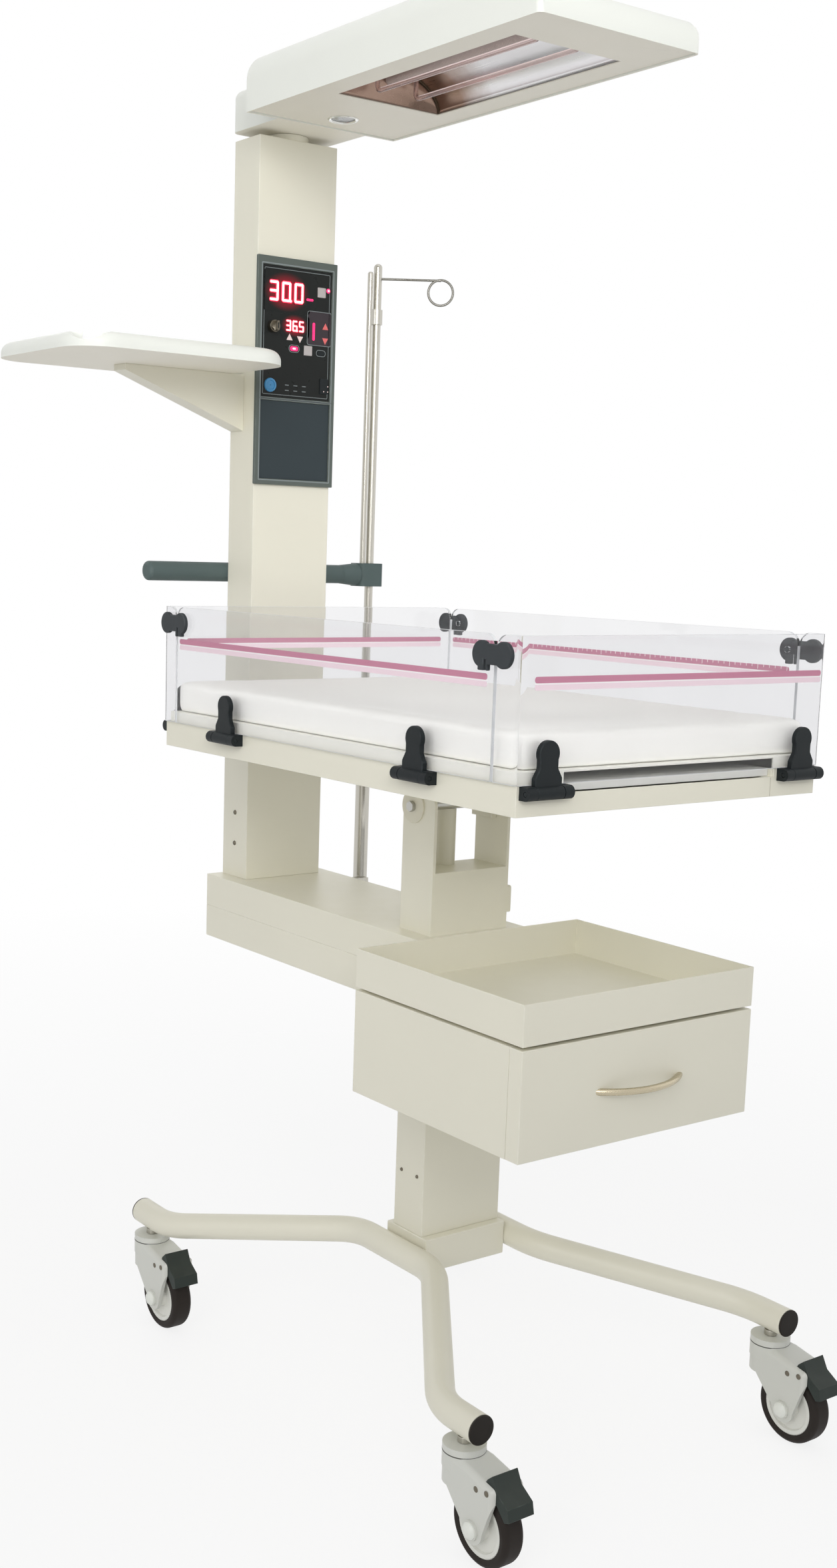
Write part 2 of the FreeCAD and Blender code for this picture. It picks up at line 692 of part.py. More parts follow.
def caster(name, side, end):
    """One caster: the swivelling fork with its axle, the wheel, and the brake pedal."""
    swivel_x = f"({side} * caster_half_track)"
    swivel_y = f"({end} * caster_half_base)"
    axle_y = f"({swivel_y} - caster_trail)"
    nose_y = f"({axle_y} - fork_nose)"
    nose_top = f"({FORK_TOP} - fork_nose_drop)"
    pedal_y = f"({axle_y} - pedal_reach)"
    pedal_z = f"({SLOT_TOP} + wheel_room)"
    pedal_back = f"({pedal_y} + pedal_back)"
    width = about(swivel_x, FORK_HALF_WIDTH)
    gap = about(swivel_x, FORK_HALF_GAP)

    fork = Piece(f"{name}_fork")
    fork.profile("x", [
        (swivel_y, FORK_TOP),
        (swivel_y, f"{FORK_TOP} - fork_shoulder_drop"),
        (f"{axle_y} + fork_boss_radius", "wheel_radius"),
        (f"{axle_y} - fork_boss_radius", "wheel_radius"),
        (nose_y, f"{nose_top} - fork_nose_depth"),
        (nose_y, nose_top),
        (f"{swivel_y} - swivel_disc_radius", FORK_TOP),
    ], width)
    fork.rod("x", (axle_y, "wheel_radius"), "fork_boss_radius", width)
    shoulder = (f"{FORK_TOP} - fork_shoulder_drop", FORK_TOP)
    fork.rod("z", (swivel_x, swivel_y), FORK_HALF_WIDTH, shoulder)
    fork.fillet("fork_roof / 3", both(parallel("x"), lies_at("z", nose_top)))
    hood = both(above("z", f"{nose_top} - wheel_room"), lambda edge: not parallel("x")(edge))
    fork.fillet("fork_hood_round", hood)
    fork.rod("z", (swivel_x, swivel_y), "swivel_disc_radius", (f"{FORK_TOP} - fork_roof", DISC_TOP))
    wheel_rear = f"{axle_y} + wheel_radius + wheel_room"
    fork.box(gap, (f"{nose_y} - wheel_room", wheel_rear), ("0", SLOT_TOP), cut=True)
    open_rear = f"{pedal_back} + wheel_room / 2"
    fork.box(gap, (f"{nose_y} - wheel_room", open_rear), ("0", DISC_TOP), cut=True)
    cap = f"{FORK_HALF_WIDTH} + axle_cap_height"
    fork.rod("x", (axle_y, "wheel_radius"), "axle_cap_radius", about(swivel_x, cap))
    fork.rod("x", (axle_y, "wheel_radius"), "fork_boss_radius", gap, cut=True)
    fork.rod("x", (axle_y, "wheel_radius"), "axle_radius", gap)
    fork.rod("x", (pedal_y, pedal_z), "pedal_pin_radius", gap)
    fork.rod("z", (swivel_x, swivel_y), "stem_radius + running_fit", (SLOT_TOP, DISC_TOP), cut=True)
    fork.publish()

    hub_radius = "wheel_radius - tyre_depth"
    tyre = Piece(f"{name}_tyre")
    tyre.rod("x", (axle_y, "wheel_radius"), "wheel_radius", about(swivel_x, "tyre_width / 2"))
    tyre.fillet("tyre_round", circular)
    tyre.rod("x", (axle_y, "wheel_radius"), hub_radius, about(swivel_x, "tyre_width"), cut=True)
    hub = Piece(f"{name}_hub")
    hub.rod("x", (axle_y, "wheel_radius"), hub_radius, about(swivel_x, "tyre_width / 2 - hub_recess"))
    boss = about(swivel_x, f"{FORK_HALF_GAP} - rest_gap")
    hub.rod("x", (axle_y, "wheel_radius"), "fork_boss_radius", boss)
    bore = "axle_radius + running_fit"
    hub.rod("x", (axle_y, "wheel_radius"), bore, about(swivel_x, FORK_HALF_GAP), cut=True)
    group(f"{name}_wheel", [tyre, hub])

    pedal = Piece(f"{name}_brake_pedal")
    lip = f"({pedal_y} - pedal_lip)"
    lip_low = f"({pedal_z} - pedal_lip_drop)"
    pedal.profile("x", [
        (pedal_back, f"{pedal_z} - pedal_rise"),
        (pedal_back, f"{pedal_z} + pedal_lip_depth"),
        (f"{pedal_y} - pedal_pin_radius", f"{pedal_z} + pedal_height"),
        (f"{pedal_y} - pedal_lip_depth", f"{pedal_z} + pedal_pin_radius"),
        (f"{lip} + pedal_pin_radius", f"{lip_low} + pedal_lip_depth + pedal_pin_radius"),
        (lip, lip_low),
        (f"{lip} + pedal_rise", f"{lip_low} - pedal_pin_radius"),
        (f"{pedal_y} - pedal_lip_depth", f"{pedal_z} - pedal_lip_depth"),
    ], about(swivel_x, f"{FORK_HALF_GAP} - rest_gap"))
    bore = "pedal_pin_radius + running_fit"
    pedal.rod("x", (pedal_y, pedal_z), bore, about(swivel_x, FORK_HALF_GAP), cut=True)
    pedal.publish()


def base_and_columns():
    """The base box, the lower column, the two-part beam and the tall rear column."""
    base = Piece("base_box")
    base.box(centred("base_half_width"), centred("base_half_depth"), (BASE_BOTTOM, BASE_TOP))
    inner_width = centred("base_half_width - base_wall")
    inner_depth = centred("base_half_depth - base_wall")
    base.box(inner_width, inner_depth, (BASE_BOTTOM, f"{BASE_TOP} - base_wall"), cut=True)
    base.publish()

    lower = Piece("lower_column")
    inside = "column_half_width - column_wall"
    lower.box(centred("column_half_width"), centred("lower_column_half_depth"), (BASE_TOP, BEAM_BOTTOM))
    inner_depth = centred("lower_column_half_depth - column_wall")
    lower.box(centred(inside), inner_depth, (BASE_TOP, BEAM_BOTTOM), cut=True)
    lower.publish()

    inner_width = centred("beam_half_width - sheet")
    inner_depth = (f"{BEAM_FRONT} + sheet", f"{BEAM_REAR} - sheet")
    tray = Piece("beam_tray")
    tray.box(centred("beam_half_width"), (BEAM_FRONT, BEAM_REAR), (BEAM_BOTTOM, BEAM_SEAM))
    tray.box(inner_width, inner_depth, (f"{BEAM_BOTTOM} + sheet", BEAM_SEAM), cut=True)
    tray.publish()
    cover = Piece("beam_cover")
    cover.box(centred("beam_half_width"), (BEAM_FRONT, BEAM_REAR), (BEAM_SEAM, BEAM_TOP))
    cover.box(inner_width, inner_depth, (BEAM_SEAM, f"{BEAM_TOP} - sheet"), cut=True)
    cover.publish()

    rear = Piece("rear_column")
    rear.box(centred("column_half_width"), (COLUMN_FRONT, COLUMN_REAR), (BEAM_TOP, COLUMN_TOP))
    inner_depth = (f"{COLUMN_FRONT} + column_wall", f"{COLUMN_REAR} - column_wall")
    rear.box(centred(inside), inner_depth, (BEAM_TOP, f"{COLUMN_TOP} - column_wall"), cut=True)
    ring_top = f"{HUB_BOTTOM} - rest_gap"
    rear.rod("z", ("0", COLUMN_AXIS), "spigot_radius + swivel_ring", (COLUMN_TOP, ring_top))
    rear.rod("z", ("0", COLUMN_AXIS), "spigot_radius", (COLUMN_TOP, f"{COLUMN_TOP} + spigot_height"))
    rear.publish()

    inlet = Piece("power_inlet")
    inlet_bottom = f"({BEAM_BOTTOM} + beam_height / 8)"
    inlet_top = f"({inlet_bottom} + inlet_height)"
    inlet_face = f"({BEAM_REAR} + inlet_depth)"
    inlet.box(centred("inlet_half_width"), (BEAM_REAR, inlet_face), (inlet_bottom, inlet_top))
    mouth = (f"{BEAM_REAR} + inlet_depth / 3", inlet_face)
    inlet.box(centred("inlet_half_width - inlet_wall"), mouth,
              (f"{inlet_bottom} + inlet_wall", f"{inlet_top} - inlet_wall"), cut=True)
    inlet.publish()


def tilt_bracket():
    """The box, cheeks and post that carry the bassinet's pivot bolt."""
    bracket = Piece("pivot_bracket")
    depth = (BRACKET_FRONT, BRACKET_REAR)
    cheek_top = f"{PIVOT_HEIGHT} + cheek_top"
    bracket.box(centred("bracket_half_width"), depth, (BEAM_TOP, BRACKET_TOP))
    for side in (-1, 1):
        bracket.box(outward(side, CHEEK_INSIDE, "bracket_half_width"), depth, (BEAM_TOP, cheek_top))
    bracket.box(centred(CHEEK_INSIDE), (f"{BRACKET_FRONT} + bracket_wall", f"{BRACKET_REAR} - bracket_wall"),
                (BEAM_TOP, f"{BRACKET_TOP} - bracket_wall"), cut=True)
    bracket.fillet("bracket_depth / 3", both(parallel("x"), lies_at("z", cheek_top)))
    post_top = f"{PIVOT_HEIGHT} - pivot_bolt_radius - rest_gap"
    bracket.rod("z", ("0", f"{BRACKET_REAR} - post_inset"), "post_radius", (BEAM_TOP, post_top))
    bolt_hole = centred("bracket_half_width")
    bracket.rod("x", (PIVOT_DEPTH, PIVOT_HEIGHT), "pivot_bolt_radius + running_fit", bolt_hole, cut=True)
    bracket.publish()


def fasteners():
    """The pivot bolt with its washers, and the screws in the columns' sides."""
    across = (PIVOT_DEPTH, PIVOT_HEIGHT)
    washer = "(bracket_half_width + pivot_washer)"
    bolt = Piece("pivot_bolt")
    bolt.rod("x", across, "pivot_bolt_radius", centred(f"{washer} + pivot_head"))
    for side in (-1, 1):
        bolt.rod("x", across, "pivot_washer_radius", outward(side, "bracket_half_width", washer))
    pieces = [bolt]
    head = "column_half_width + screw_head"
    lower_z = f"{BASE_TOP} + lower_screw_height"
    rear_z = f"{BEAM_TOP} + rear_screw_height"
    spots = [
        ("lower_screw_half_spacing", lower_z),
        ("-lower_screw_half_spacing", lower_z),
        (COLUMN_AXIS, rear_z),
        (COLUMN_AXIS, f"{rear_z} + rear_screw_spacing"),
    ]
    for side in (-1, 1):
        for y, z in spots:
            screw = Piece("column_screw")
            screw.rod("x", (y, z), "screw_radius", outward(side, "column_half_width", head))
            pieces.append(screw)
    group("fasteners", pieces)


def bassinet():
    """The tilting tray with its pivot lugs, the mattress deck, the mattress and the x-ray tray."""
    inner_width = f"{TRAY_HALF_WIDTH} - tray_wall"
    tray = Piece("bassinet_tray")
    tray.box(centred(TRAY_HALF_WIDTH), (TRAY_FRONT, TRAY_REAR), (TRAY_BOTTOM, TRAY_RIM))
    inner_depth = (f"{TRAY_FRONT} + tray_wall", f"{TRAY_REAR} - tray_wall")
    tray.box(centred(inner_width), inner_depth, (TRAY_FLOOR, TRAY_RIM), cut=True)
    slot_depth = (TRAY_FRONT, f"{TRAY_FRONT} + tray_wall")
    tray.box(centred(SLOT_HALF_WIDTH), slot_depth, (TRAY_LIP, TRAY_RIM), cut=True)
    runner = (inner_depth[0], f"{inner_depth[1]} - xray_rear_gap")
    for side in (-1, 1):
        web = outward(side, f"{XRAY_HALF_WIDTH} + rest_gap", f"{SLOT_HALF_WIDTH} + tray_wall")
        ledge = outward(side, f"{XRAY_HALF_WIDTH} - xray_ledge", f"{SLOT_HALF_WIDTH} + tray_wall")
        tray.box(web, runner, (TRAY_FLOOR, f"{TRAY_LIP} + xray_rim"))
        tray.box(ledge, runner, (f"{TRAY_LIP} - tray_wall", TRAY_LIP))
    for side in (-1, 1):
        lug = outward(side, f"{CHEEK_INSIDE} - rest_gap - lug_wall", f"{CHEEK_INSIDE} - rest_gap")
        tray.box(lug, about(PIVOT_DEPTH, "lug_half_depth"), (f"{PIVOT_HEIGHT} - lug_drop", TRAY_BOTTOM))
    hole = centred(CHEEK_INSIDE)
    tray.rod("x", (PIVOT_DEPTH, PIVOT_HEIGHT), "pivot_bolt_radius + running_fit", hole, cut=True)
    tray.publish()

    deck_front = f"({TRAY_FRONT} + tray_wall + deck_inset)"
    deck_rear = f"({TRAY_REAR} - tray_wall - deck_inset)"
    deck = Piece("mattress_deck")
    deck.box(centred(DECK_HALF_WIDTH), (deck_front, deck_rear), (TRAY_FLOOR, DECK_TOP))
    deck_inner = (f"{deck_front} + deck_sheet", f"{deck_rear} - deck_sheet")
    under = (TRAY_FLOOR, f"{DECK_TOP} - deck_sheet")
    deck.box(centred(f"{DECK_HALF_WIDTH} - deck_sheet"), deck_inner, under, cut=True)
    mouth = (deck_front, f"{deck_front} + deck_sheet")
    deck.box(centred(f"{SLOT_HALF_WIDTH} + tray_wall"), mouth, under, cut=True)
    deck.publish()

    mattress = Piece("mattress")
    mattress_bottom = f"({DECK_TOP} + rest_gap)"
    mattress_height = (mattress_bottom, f"{mattress_bottom} + mattress_thickness")
    mattress_depth = (f"{deck_front} + mattress_inset", f"{deck_rear} - mattress_inset")
    mattress_width = centred(f"{DECK_HALF_WIDTH} - mattress_inset")
    mattress.box(mattress_width, mattress_depth, mattress_height)
    mattress.fillet("mattress_round", any_edge)
    mattress.publish()

    xray = Piece("xray_tray")
    xray_bottom = f"({TRAY_LIP} + rest_gap)"
    xray_top = f"{TRAY_LIP} + xray_rim"
    xray_front = f"({deck_front} + xray_front_gap)"
    xray_depth = (xray_front, runner[1])
    xray.box(centred(XRAY_HALF_WIDTH), xray_depth, (xray_bottom, xray_top))
    xray_inner = (f"{xray_front} + sheet", f"{xray_depth[1]} - sheet")
    xray_dish = (f"{xray_bottom} + sheet", xray_top)
    xray.box(centred(f"{XRAY_HALF_WIDTH} - sheet"), xray_inner, xray_dish, cut=True)
    xray.publish()


def end_panel(name, outside, direction, reach):
    """A front or rear wall with side returns of a given reach; direction points into the bassinet."""
    panel = Piece(name)
    height = (PANEL_BOTTOM, PANEL_TOP)
    depth = [f"{outside} + ({edge})" for edge in outward(direction, "0", reach)]
    hollow = [f"{outside} + ({edge})" for edge in outward(direction, "panel_thickness", reach)]
    inner_edge = f"{outside} + {direction} * {reach}"
    panel.box(centred("bassinet_half_width"), depth, height)
    panel.fillet("2 * panel_thickness", both(parallel("z"), lies_at("y", outside)))
    panel.box(centred("bassinet_half_width - panel_thickness"), hollow, height, cut=True)
    panel.fillet("panel_corner", both(parallel("x"), lies_at("z", PANEL_TOP), lies_at("y", inner_edge)))
    panel.publish()


def side_panel(name, side):
    """A flat side wall with rounded top corners and a hole for each latch peg."""
    panel = Piece(name)
    depth = outward(side, "bassinet_half_width - panel_thickness", "bassinet_half_width")
    panel.box(depth, (SIDE_FRONT, SIDE_REAR), (PANEL_BOTTOM, PANEL_TOP))
    panel.fillet("panel_corner", both(parallel("x"), lies_at("z", PANEL_TOP)))
    for end in (-1, 1):
        peg = (latch_peg_depth(end), LATCH_HEIGHT)
        panel.rod("x", peg, "latch_peg_radius + running_fit", depth, cut=True)
    panel.publish()


def latch_peg_depth(end):
    """Where a latch's peg goes through the side wall."""
    if end < 0:
        return f"({SIDE_FRONT} - panel_joint / 2 + latch_spread)"
    return f"({SIDE_REAR} + panel_joint / 2 - latch_spread)"


def latch(name, side, end):
    """A two-lobed rubber latch that turns on its peg in the side wall and laps over the next wall."""
    peg_y = latch_peg_depth(end)
    free_y = f"({peg_y} + {end} * 2 * latch_spread)"
    face = "bassinet_half_width + rest_gap"
    plate = outward(side, face, f"{face} + latch_thickness")
    peg = outward(side, "bassinet_half_width - panel_thickness", face)
    piece = Piece(name)
    piece.rod("x", (peg_y, LATCH_HEIGHT), "latch_radius", plate)
    piece.rod("x", (free_y, LATCH_HEIGHT), "latch_radius", plate)
    low, high = (free_y, peg_y) if end < 0 else (peg_y, free_y)
    piece.box(plate, (low, high), about(LATCH_HEIGHT, "latch_bar / 2"))
    foot_low = f"{LATCH_HEIGHT} - latch_foot_drop"
    foot = [f"{peg_y} + ({edge})" for edge in outward(end, "-latch_foot_back", "latch_foot_reach")]
    piece.box(plate, foot, (foot_low, LATCH_HEIGHT))
    slit_width = outward(end, "latch_foot_back", "latch_foot_back + latch_slit")
    slit = [f"{peg_y} + ({edge})" for edge in slit_width]
    piece.box(plate, slit, (foot_low, f"{foot_low} + latch_slit_height"), cut=True)
    piece.rod("x", (peg_y, LATCH_HEIGHT), "latch_peg_radius", peg)
    piece.publish()


def hinge_base():
    """A hinge's fixed half in its own frame: the tray's wall at x = 0 and outwards along -x."""
    base = Piece("hinge_base")
    axis = (f"-{HINGE_STANDOFF}", HINGE_HEIGHT)
    height = about(HINGE_HEIGHT, "hinge_radius")
    web_height = about(HINGE_HEIGHT, "hinge_radius - running_fit")
    base.box(("-hinge_plate", "0"), centred("hinge_length / 2"), height)
    for end in (-1, 1):
        knuckle = outward(end, "flap_barrel / 2 + rest_gap", "hinge_length / 2")
        base.box((f"-{HINGE_STANDOFF}", "-hinge_plate"), knuckle, web_height)
        base.rod("y", axis, "hinge_radius", knuckle)
        base.rod("y", axis, "hinge_pin_radius + running_fit", knuckle, cut=True)
    return base


def hinge_flap():
    """A hinge's moving half in the same frame: a barrel with pins and a keyhole-shaped tongue."""
    flap = Piece("hinge_flap")
    axis = (f"-{HINGE_STANDOFF}", HINGE_HEIGHT)
    face = "wall_inset"
    plate = (f"-({face} + flap_thickness)", f"-{face}")
    shoulder_z = f"{HINGE_HEIGHT} + flap_shoulder_rise"
    neck_z = f"{HINGE_HEIGHT} + flap_neck_rise"
    head_z = f"{HINGE_HEIGHT} + flap_head_rise"
    flap.profile("x", [
        ("-flap_barrel / 2", HINGE_HEIGHT),
        ("flap_barrel / 2", HINGE_HEIGHT),
        ("flap_barrel / 2", shoulder_z),
        ("flap_neck / 2", neck_z),
        ("flap_neck / 2", head_z),
        ("-flap_neck / 2", head_z),
        ("-flap_neck / 2", neck_z),
        ("-flap_barrel / 2", shoulder_z),
    ], plate)
    flap.rod("x", ("0", head_z), "flap_head_radius", plate)
    flap.rod("y", axis, "hinge_radius", centred("flap_barrel / 2"))
    flap.rod("y", axis, "hinge_pin_radius", centred("hinge_length / 2"))
    return flap


def hinge_places():
    """Each side's two hinge places: its name, where the tray's wall is, and how the hinge is turned."""
    along = [f"{PANEL_MIDDLE} + {step} * hinge_spread" for step in (-1, 1)]
    from_middle = f"({TRAY_HALF_WIDTH} - hinge_length / 2 - hinge_from_corner)"
    across = [f"{step} * {from_middle}" for step in (-1, 1)]
    return {
        "left": [(f"-{TRAY_HALF_WIDTH}", y, 0) for y in along],
        "right": [(TRAY_HALF_WIDTH, y, 180) for y in along],
        "front": [(x, TRAY_FRONT, 90) for x in across],
        "rear": [(x, TRAY_REAR, -90) for x in across],
    }


def panels_and_hinges():
    """The four clear walls, their hinges and the corner latches."""
    end_panel("front_panel", PANEL_FRONT, 1, "front_return")
    end_panel("rear_panel", PANEL_REAR, -1, "rear_return")
    side_panel("left_panel", -1)
    side_panel("right_panel", 1)
    fixed = []
    for side, places in hinge_places().items():
        fixed += [hinge_base().place(*spot) for spot in places]
        flaps = [hinge_flap().place(*spot) for spot in places]
        if side == "rear":
            fixed += flaps
        else:
            group(f"{side}_hinge_flaps", flaps)
    group("panel_hinges", fixed)
    for side_name, side in (("left", -1), ("right", 1)):
        for end_name, end in (("front", -1), ("rear", 1)):
            latch(f"{end_name}_{side_name}_latch", side, end)


def drawer_unit():
    """The open tray, the drawer's housing with its runners, the drawer and its bow handle."""
    width = centred("drawer_half_width")
    inner = centred("drawer_half_width - sheet")
    tray = Piece("top_tray")
    tray.box(width, (UNIT_FRONT, BEAM_FRONT), (TOP_TRAY_BOTTOM, BEAM_TOP))
    tray_inner = (f"{UNIT_FRONT} + sheet", f"{BEAM_FRONT} - sheet")
    tray.box(inner, tray_inner, (f"{TOP_TRAY_BOTTOM} + sheet", BEAM_TOP), cut=True)
    foot_depth = (f"{HOUSING_FRONT} + shadow_inset", f"{BEAM_FRONT} - shadow_inset")
    tray.box(centred("drawer_half_width - shadow_inset"), foot_depth, (HOUSING_TOP, TOP_TRAY_BOTTOM))
    tray.publish()

    housing = Piece("drawer_housing")
    housing.box(width, (HOUSING_FRONT, BEAM_FRONT), (HOUSING_BOTTOM, HOUSING_TOP))
    hollow = (HOUSING_FRONT, f"{BEAM_FRONT} - sheet")
    housing.box(inner, hollow, (f"{HOUSING_BOTTOM} + sheet", f"{HOUSING_TOP} - sheet"), cut=True)
    ledge_top = f"({DRAWER_FLOOR} - rest_gap)"
    for side in (-1, 1):
        ledge = outward(side, "drawer_half_width - sheet - ledge_width", "drawer_half_width - sheet")
        housing.box(ledge, hollow, (f"{ledge_top} - ledge_height", ledge_top))
    housing.publish()

    drawer = Piece("drawer")
    front = (UNIT_FRONT, f"{HOUSING_FRONT} - rest_gap")
    front_height = (f"{HOUSING_BOTTOM} + rest_gap", f"{HOUSING_TOP} - rest_gap")
    drawer.box(width, front, front_height)
    pan_height = (f"{front_height[0]} + sheet", f"{front_height[1]} - sheet")
    drawer.box(inner, (f"{UNIT_FRONT} + sheet", front[1]), pan_height, cut=True)
    box_depth = (UNIT_FRONT, f"{BEAM_FRONT} - sheet - drawer_back_gap")
    box_top = f"{HOUSING_TOP} - sheet - drawer_headroom"
    drawer.box(centred(DRAWER_BOX_HALF_WIDTH), box_depth, (DRAWER_FLOOR, box_top))
    box_inner = (f"{UNIT_FRONT} + sheet", f"{box_depth[1]} - sheet")
    hollow = (f"{DRAWER_FLOOR} + sheet", box_top)
    drawer.box(centred(f"{DRAWER_BOX_HALF_WIDTH} - sheet"), box_inner, hollow, cut=True)
    drawer.publish()

    height = f"({HOUSING_BOTTOM} + housing_height / 2)"
    first = point("-handle_half_span", f"{UNIT_FRONT} + handle_radius", height)
    middle = point("0", f"{UNIT_FRONT} - handle_bow", height)
    last = point("handle_half_span", f"{UNIT_FRONT} + handle_radius", height)
    bow = round_bar(Part.Wire([Part.Arc(first, middle, last).toShape()]), value("handle_radius"))
    span = value("handle_half_span") * 4
    corner = FreeCAD.Vector(-span / 2, value(UNIT_FRONT), first.z - span / 2)
    coded("drawer_handle", bow.cut(Part.makeBox(span, span, span, corner)))


def push_handle():
    """The push bar on the rear column, with the pole clamp at its right end."""
    bar = Piece("push_bar")
    bar.rod("x", (PUSH_DEPTH, PUSH_HEIGHT), "push_radius", ("-push_left_reach", "push_right_reach"))
    for side in (-1, 1):
        foot = outward(side, "column_half_width - push_foot", "column_half_width")
        bar.box(foot, (COLUMN_REAR, PUSH_DEPTH), about(PUSH_HEIGHT, "push_radius / 2"))
    clamp = Piece("pole_clamp")
    through = about(PUSH_HEIGHT, "clamp_height / 2")
    clamp.box(("push_right_reach", CLAMP_FAR), about(PUSH_DEPTH, "clamp_depth / 2"), through)
    clamp.fillet("clamp_height / 5", parallel("z"))
    clamp.rod("z", (POLE_REACH, PUSH_DEPTH), "pole_radius + running_fit", through, cut=True)
    clamp.rod("z", (STAY_REACH, PUSH_DEPTH), "stay_radius + running_fit", through, cut=True)
    group("push_handle", [bar, clamp])


def infusion_pole():
    """The sliding pole with its ring hook, and the socket, stay and guide that hold it."""
    socket = Piece("pole_socket")
    across = (POLE_REACH, PUSH_DEPTH)
    socket_top = f"{SOCKET_BOTTOM} + socket_length"
    socket.rod("z", across, "pole_radius + socket_wall", (SOCKET_BOTTOM, socket_top))
    arm_depth = (f"{BEAM_REAR} - socket_arm_depth", f"{PUSH_DEPTH} - pole_radius - socket_wall / 2")
    arm_top = f"{SOCKET_BOTTOM} + socket_arm_height"
    socket.box(("beam_half_width", POLE_REACH), arm_depth, (SOCKET_BOTTOM, arm_top))
    bore = (f"{SOCKET_BOTTOM} + socket_wall", socket_top)
    socket.rod("z", across, "pole_radius + running_fit", bore, cut=True)
    stay = Piece("pole_stay")
    stay_top = f"({POLE_TOP} - stay_below_top)"
    guide = (f"{stay_top} - guide_drop - guide_height", f"{stay_top} - guide_drop")
    stay.rod("z", (STAY_REACH, PUSH_DEPTH), "stay_radius", (CLAMP_BOTTOM, stay_top))
    stay.box((STAY_REACH, POLE_REACH), about(PUSH_DEPTH, "stay_radius"), guide)
    stay.rod("z", across, "pole_radius + guide_wall", guide)
    stay.rod("z", across, "pole_radius + running_fit", guide, cut=True)
    group("pole_supports", [socket, stay])

    pole = Piece("iv_pole")
    pole.rod("z", ("0", "0"), "pole_radius", (f"{SOCKET_BOTTOM} + pole_foot", POLE_TOP))
    pole.fillet("pole_radius * 0.9", lies_at("z", POLE_TOP))
    wire_z = f"({POLE_TOP} - hook_drop)"
    ring_z = f"({wire_z} - hook_ring_radius + hook_wire_radius / 2)"
    pole.rod("x", ("0", wire_z), "hook_wire_radius", ("0", "hook_reach"))
    pole.ring("y", ("hook_reach", "0", ring_z), "hook_ring_radius", "hook_wire_radius")
    pole.place(POLE_REACH, PUSH_DEPTH, -value("hook_turn"))
    pole.publish()


def side_shelf():
    """The dished shelf on the left of the column and the channel that carries it."""
    shelf = Piece("shelf_tray")
    width = (SHELF_FAR, SHELF_NEAR)
    depth = (SHELF_FRONT, f"{SHELF_FRONT} + shelf_width")
    shelf.box(width, depth, (SHELF_BOTTOM, SHELF_TOP))
    shelf.fillet("shelf_corner", parallel("z"))
    inner_width = (f"{SHELF_FAR} + shelf_rim", f"{SHELF_NEAR} - shelf_rim")
    inner_depth = (f"{depth[0]} + shelf_rim", f"{depth[1]} - shelf_rim")
    shelf.box(inner_width, inner_depth, (f"{SHELF_BOTTOM} + shelf_floor", SHELF_TOP), cut=True)
    inner_corner = either(lies_at("x", inner_width[0]), lies_at("x", inner_width[1]))
    shelf.fillet("shelf_corner - shelf_rim", both(parallel("z"), inner_corner))
    outer_edge = either(lies_at("x", SHELF_FAR), lies_at("x", SHELF_NEAR))
    shelf.fillet("shelf_edge_round", both(lies_at("z", SHELF_TOP), outer_edge))
    notch_z = f"{SHELF_TOP} + shelf_notch_radius - shelf_notch_depth"
    shelf.groove((SHELF_FAR, SHELF_FRONT, notch_z), 45, "shelf_notch_radius", "2 * shelf_rim")
    shelf.publish()

    arm = Piece("shelf_bracket")
    near = "-column_half_width"
    far = "(-column_half_width - bracket_arm_length)"
    arm_depth = (f"{ARM_REAR} - bracket_arm_width", ARM_REAR)
    arm.profile("y", [
        (near, SHELF_BOTTOM),
        (far, SHELF_BOTTOM),
        (far, f"{SHELF_BOTTOM} - bracket_arm_tip"),
        (near, f"{SHELF_BOTTOM} - bracket_arm_height"),
    ], arm_depth)
    arm.profile("y", [
        (f"{near} - sheet", SHELF_BOTTOM),
        (f"{far} + sheet", SHELF_BOTTOM),
        (f"{far} + sheet", f"{SHELF_BOTTOM} - bracket_arm_tip + sheet"),
        (f"{near} - sheet", f"{SHELF_BOTTOM} - bracket_arm_height + 2 * sheet"),
    ], (f"{arm_depth[0]} + sheet", f"{arm_depth[1]} - sheet"), cut=True)
    arm.publish()


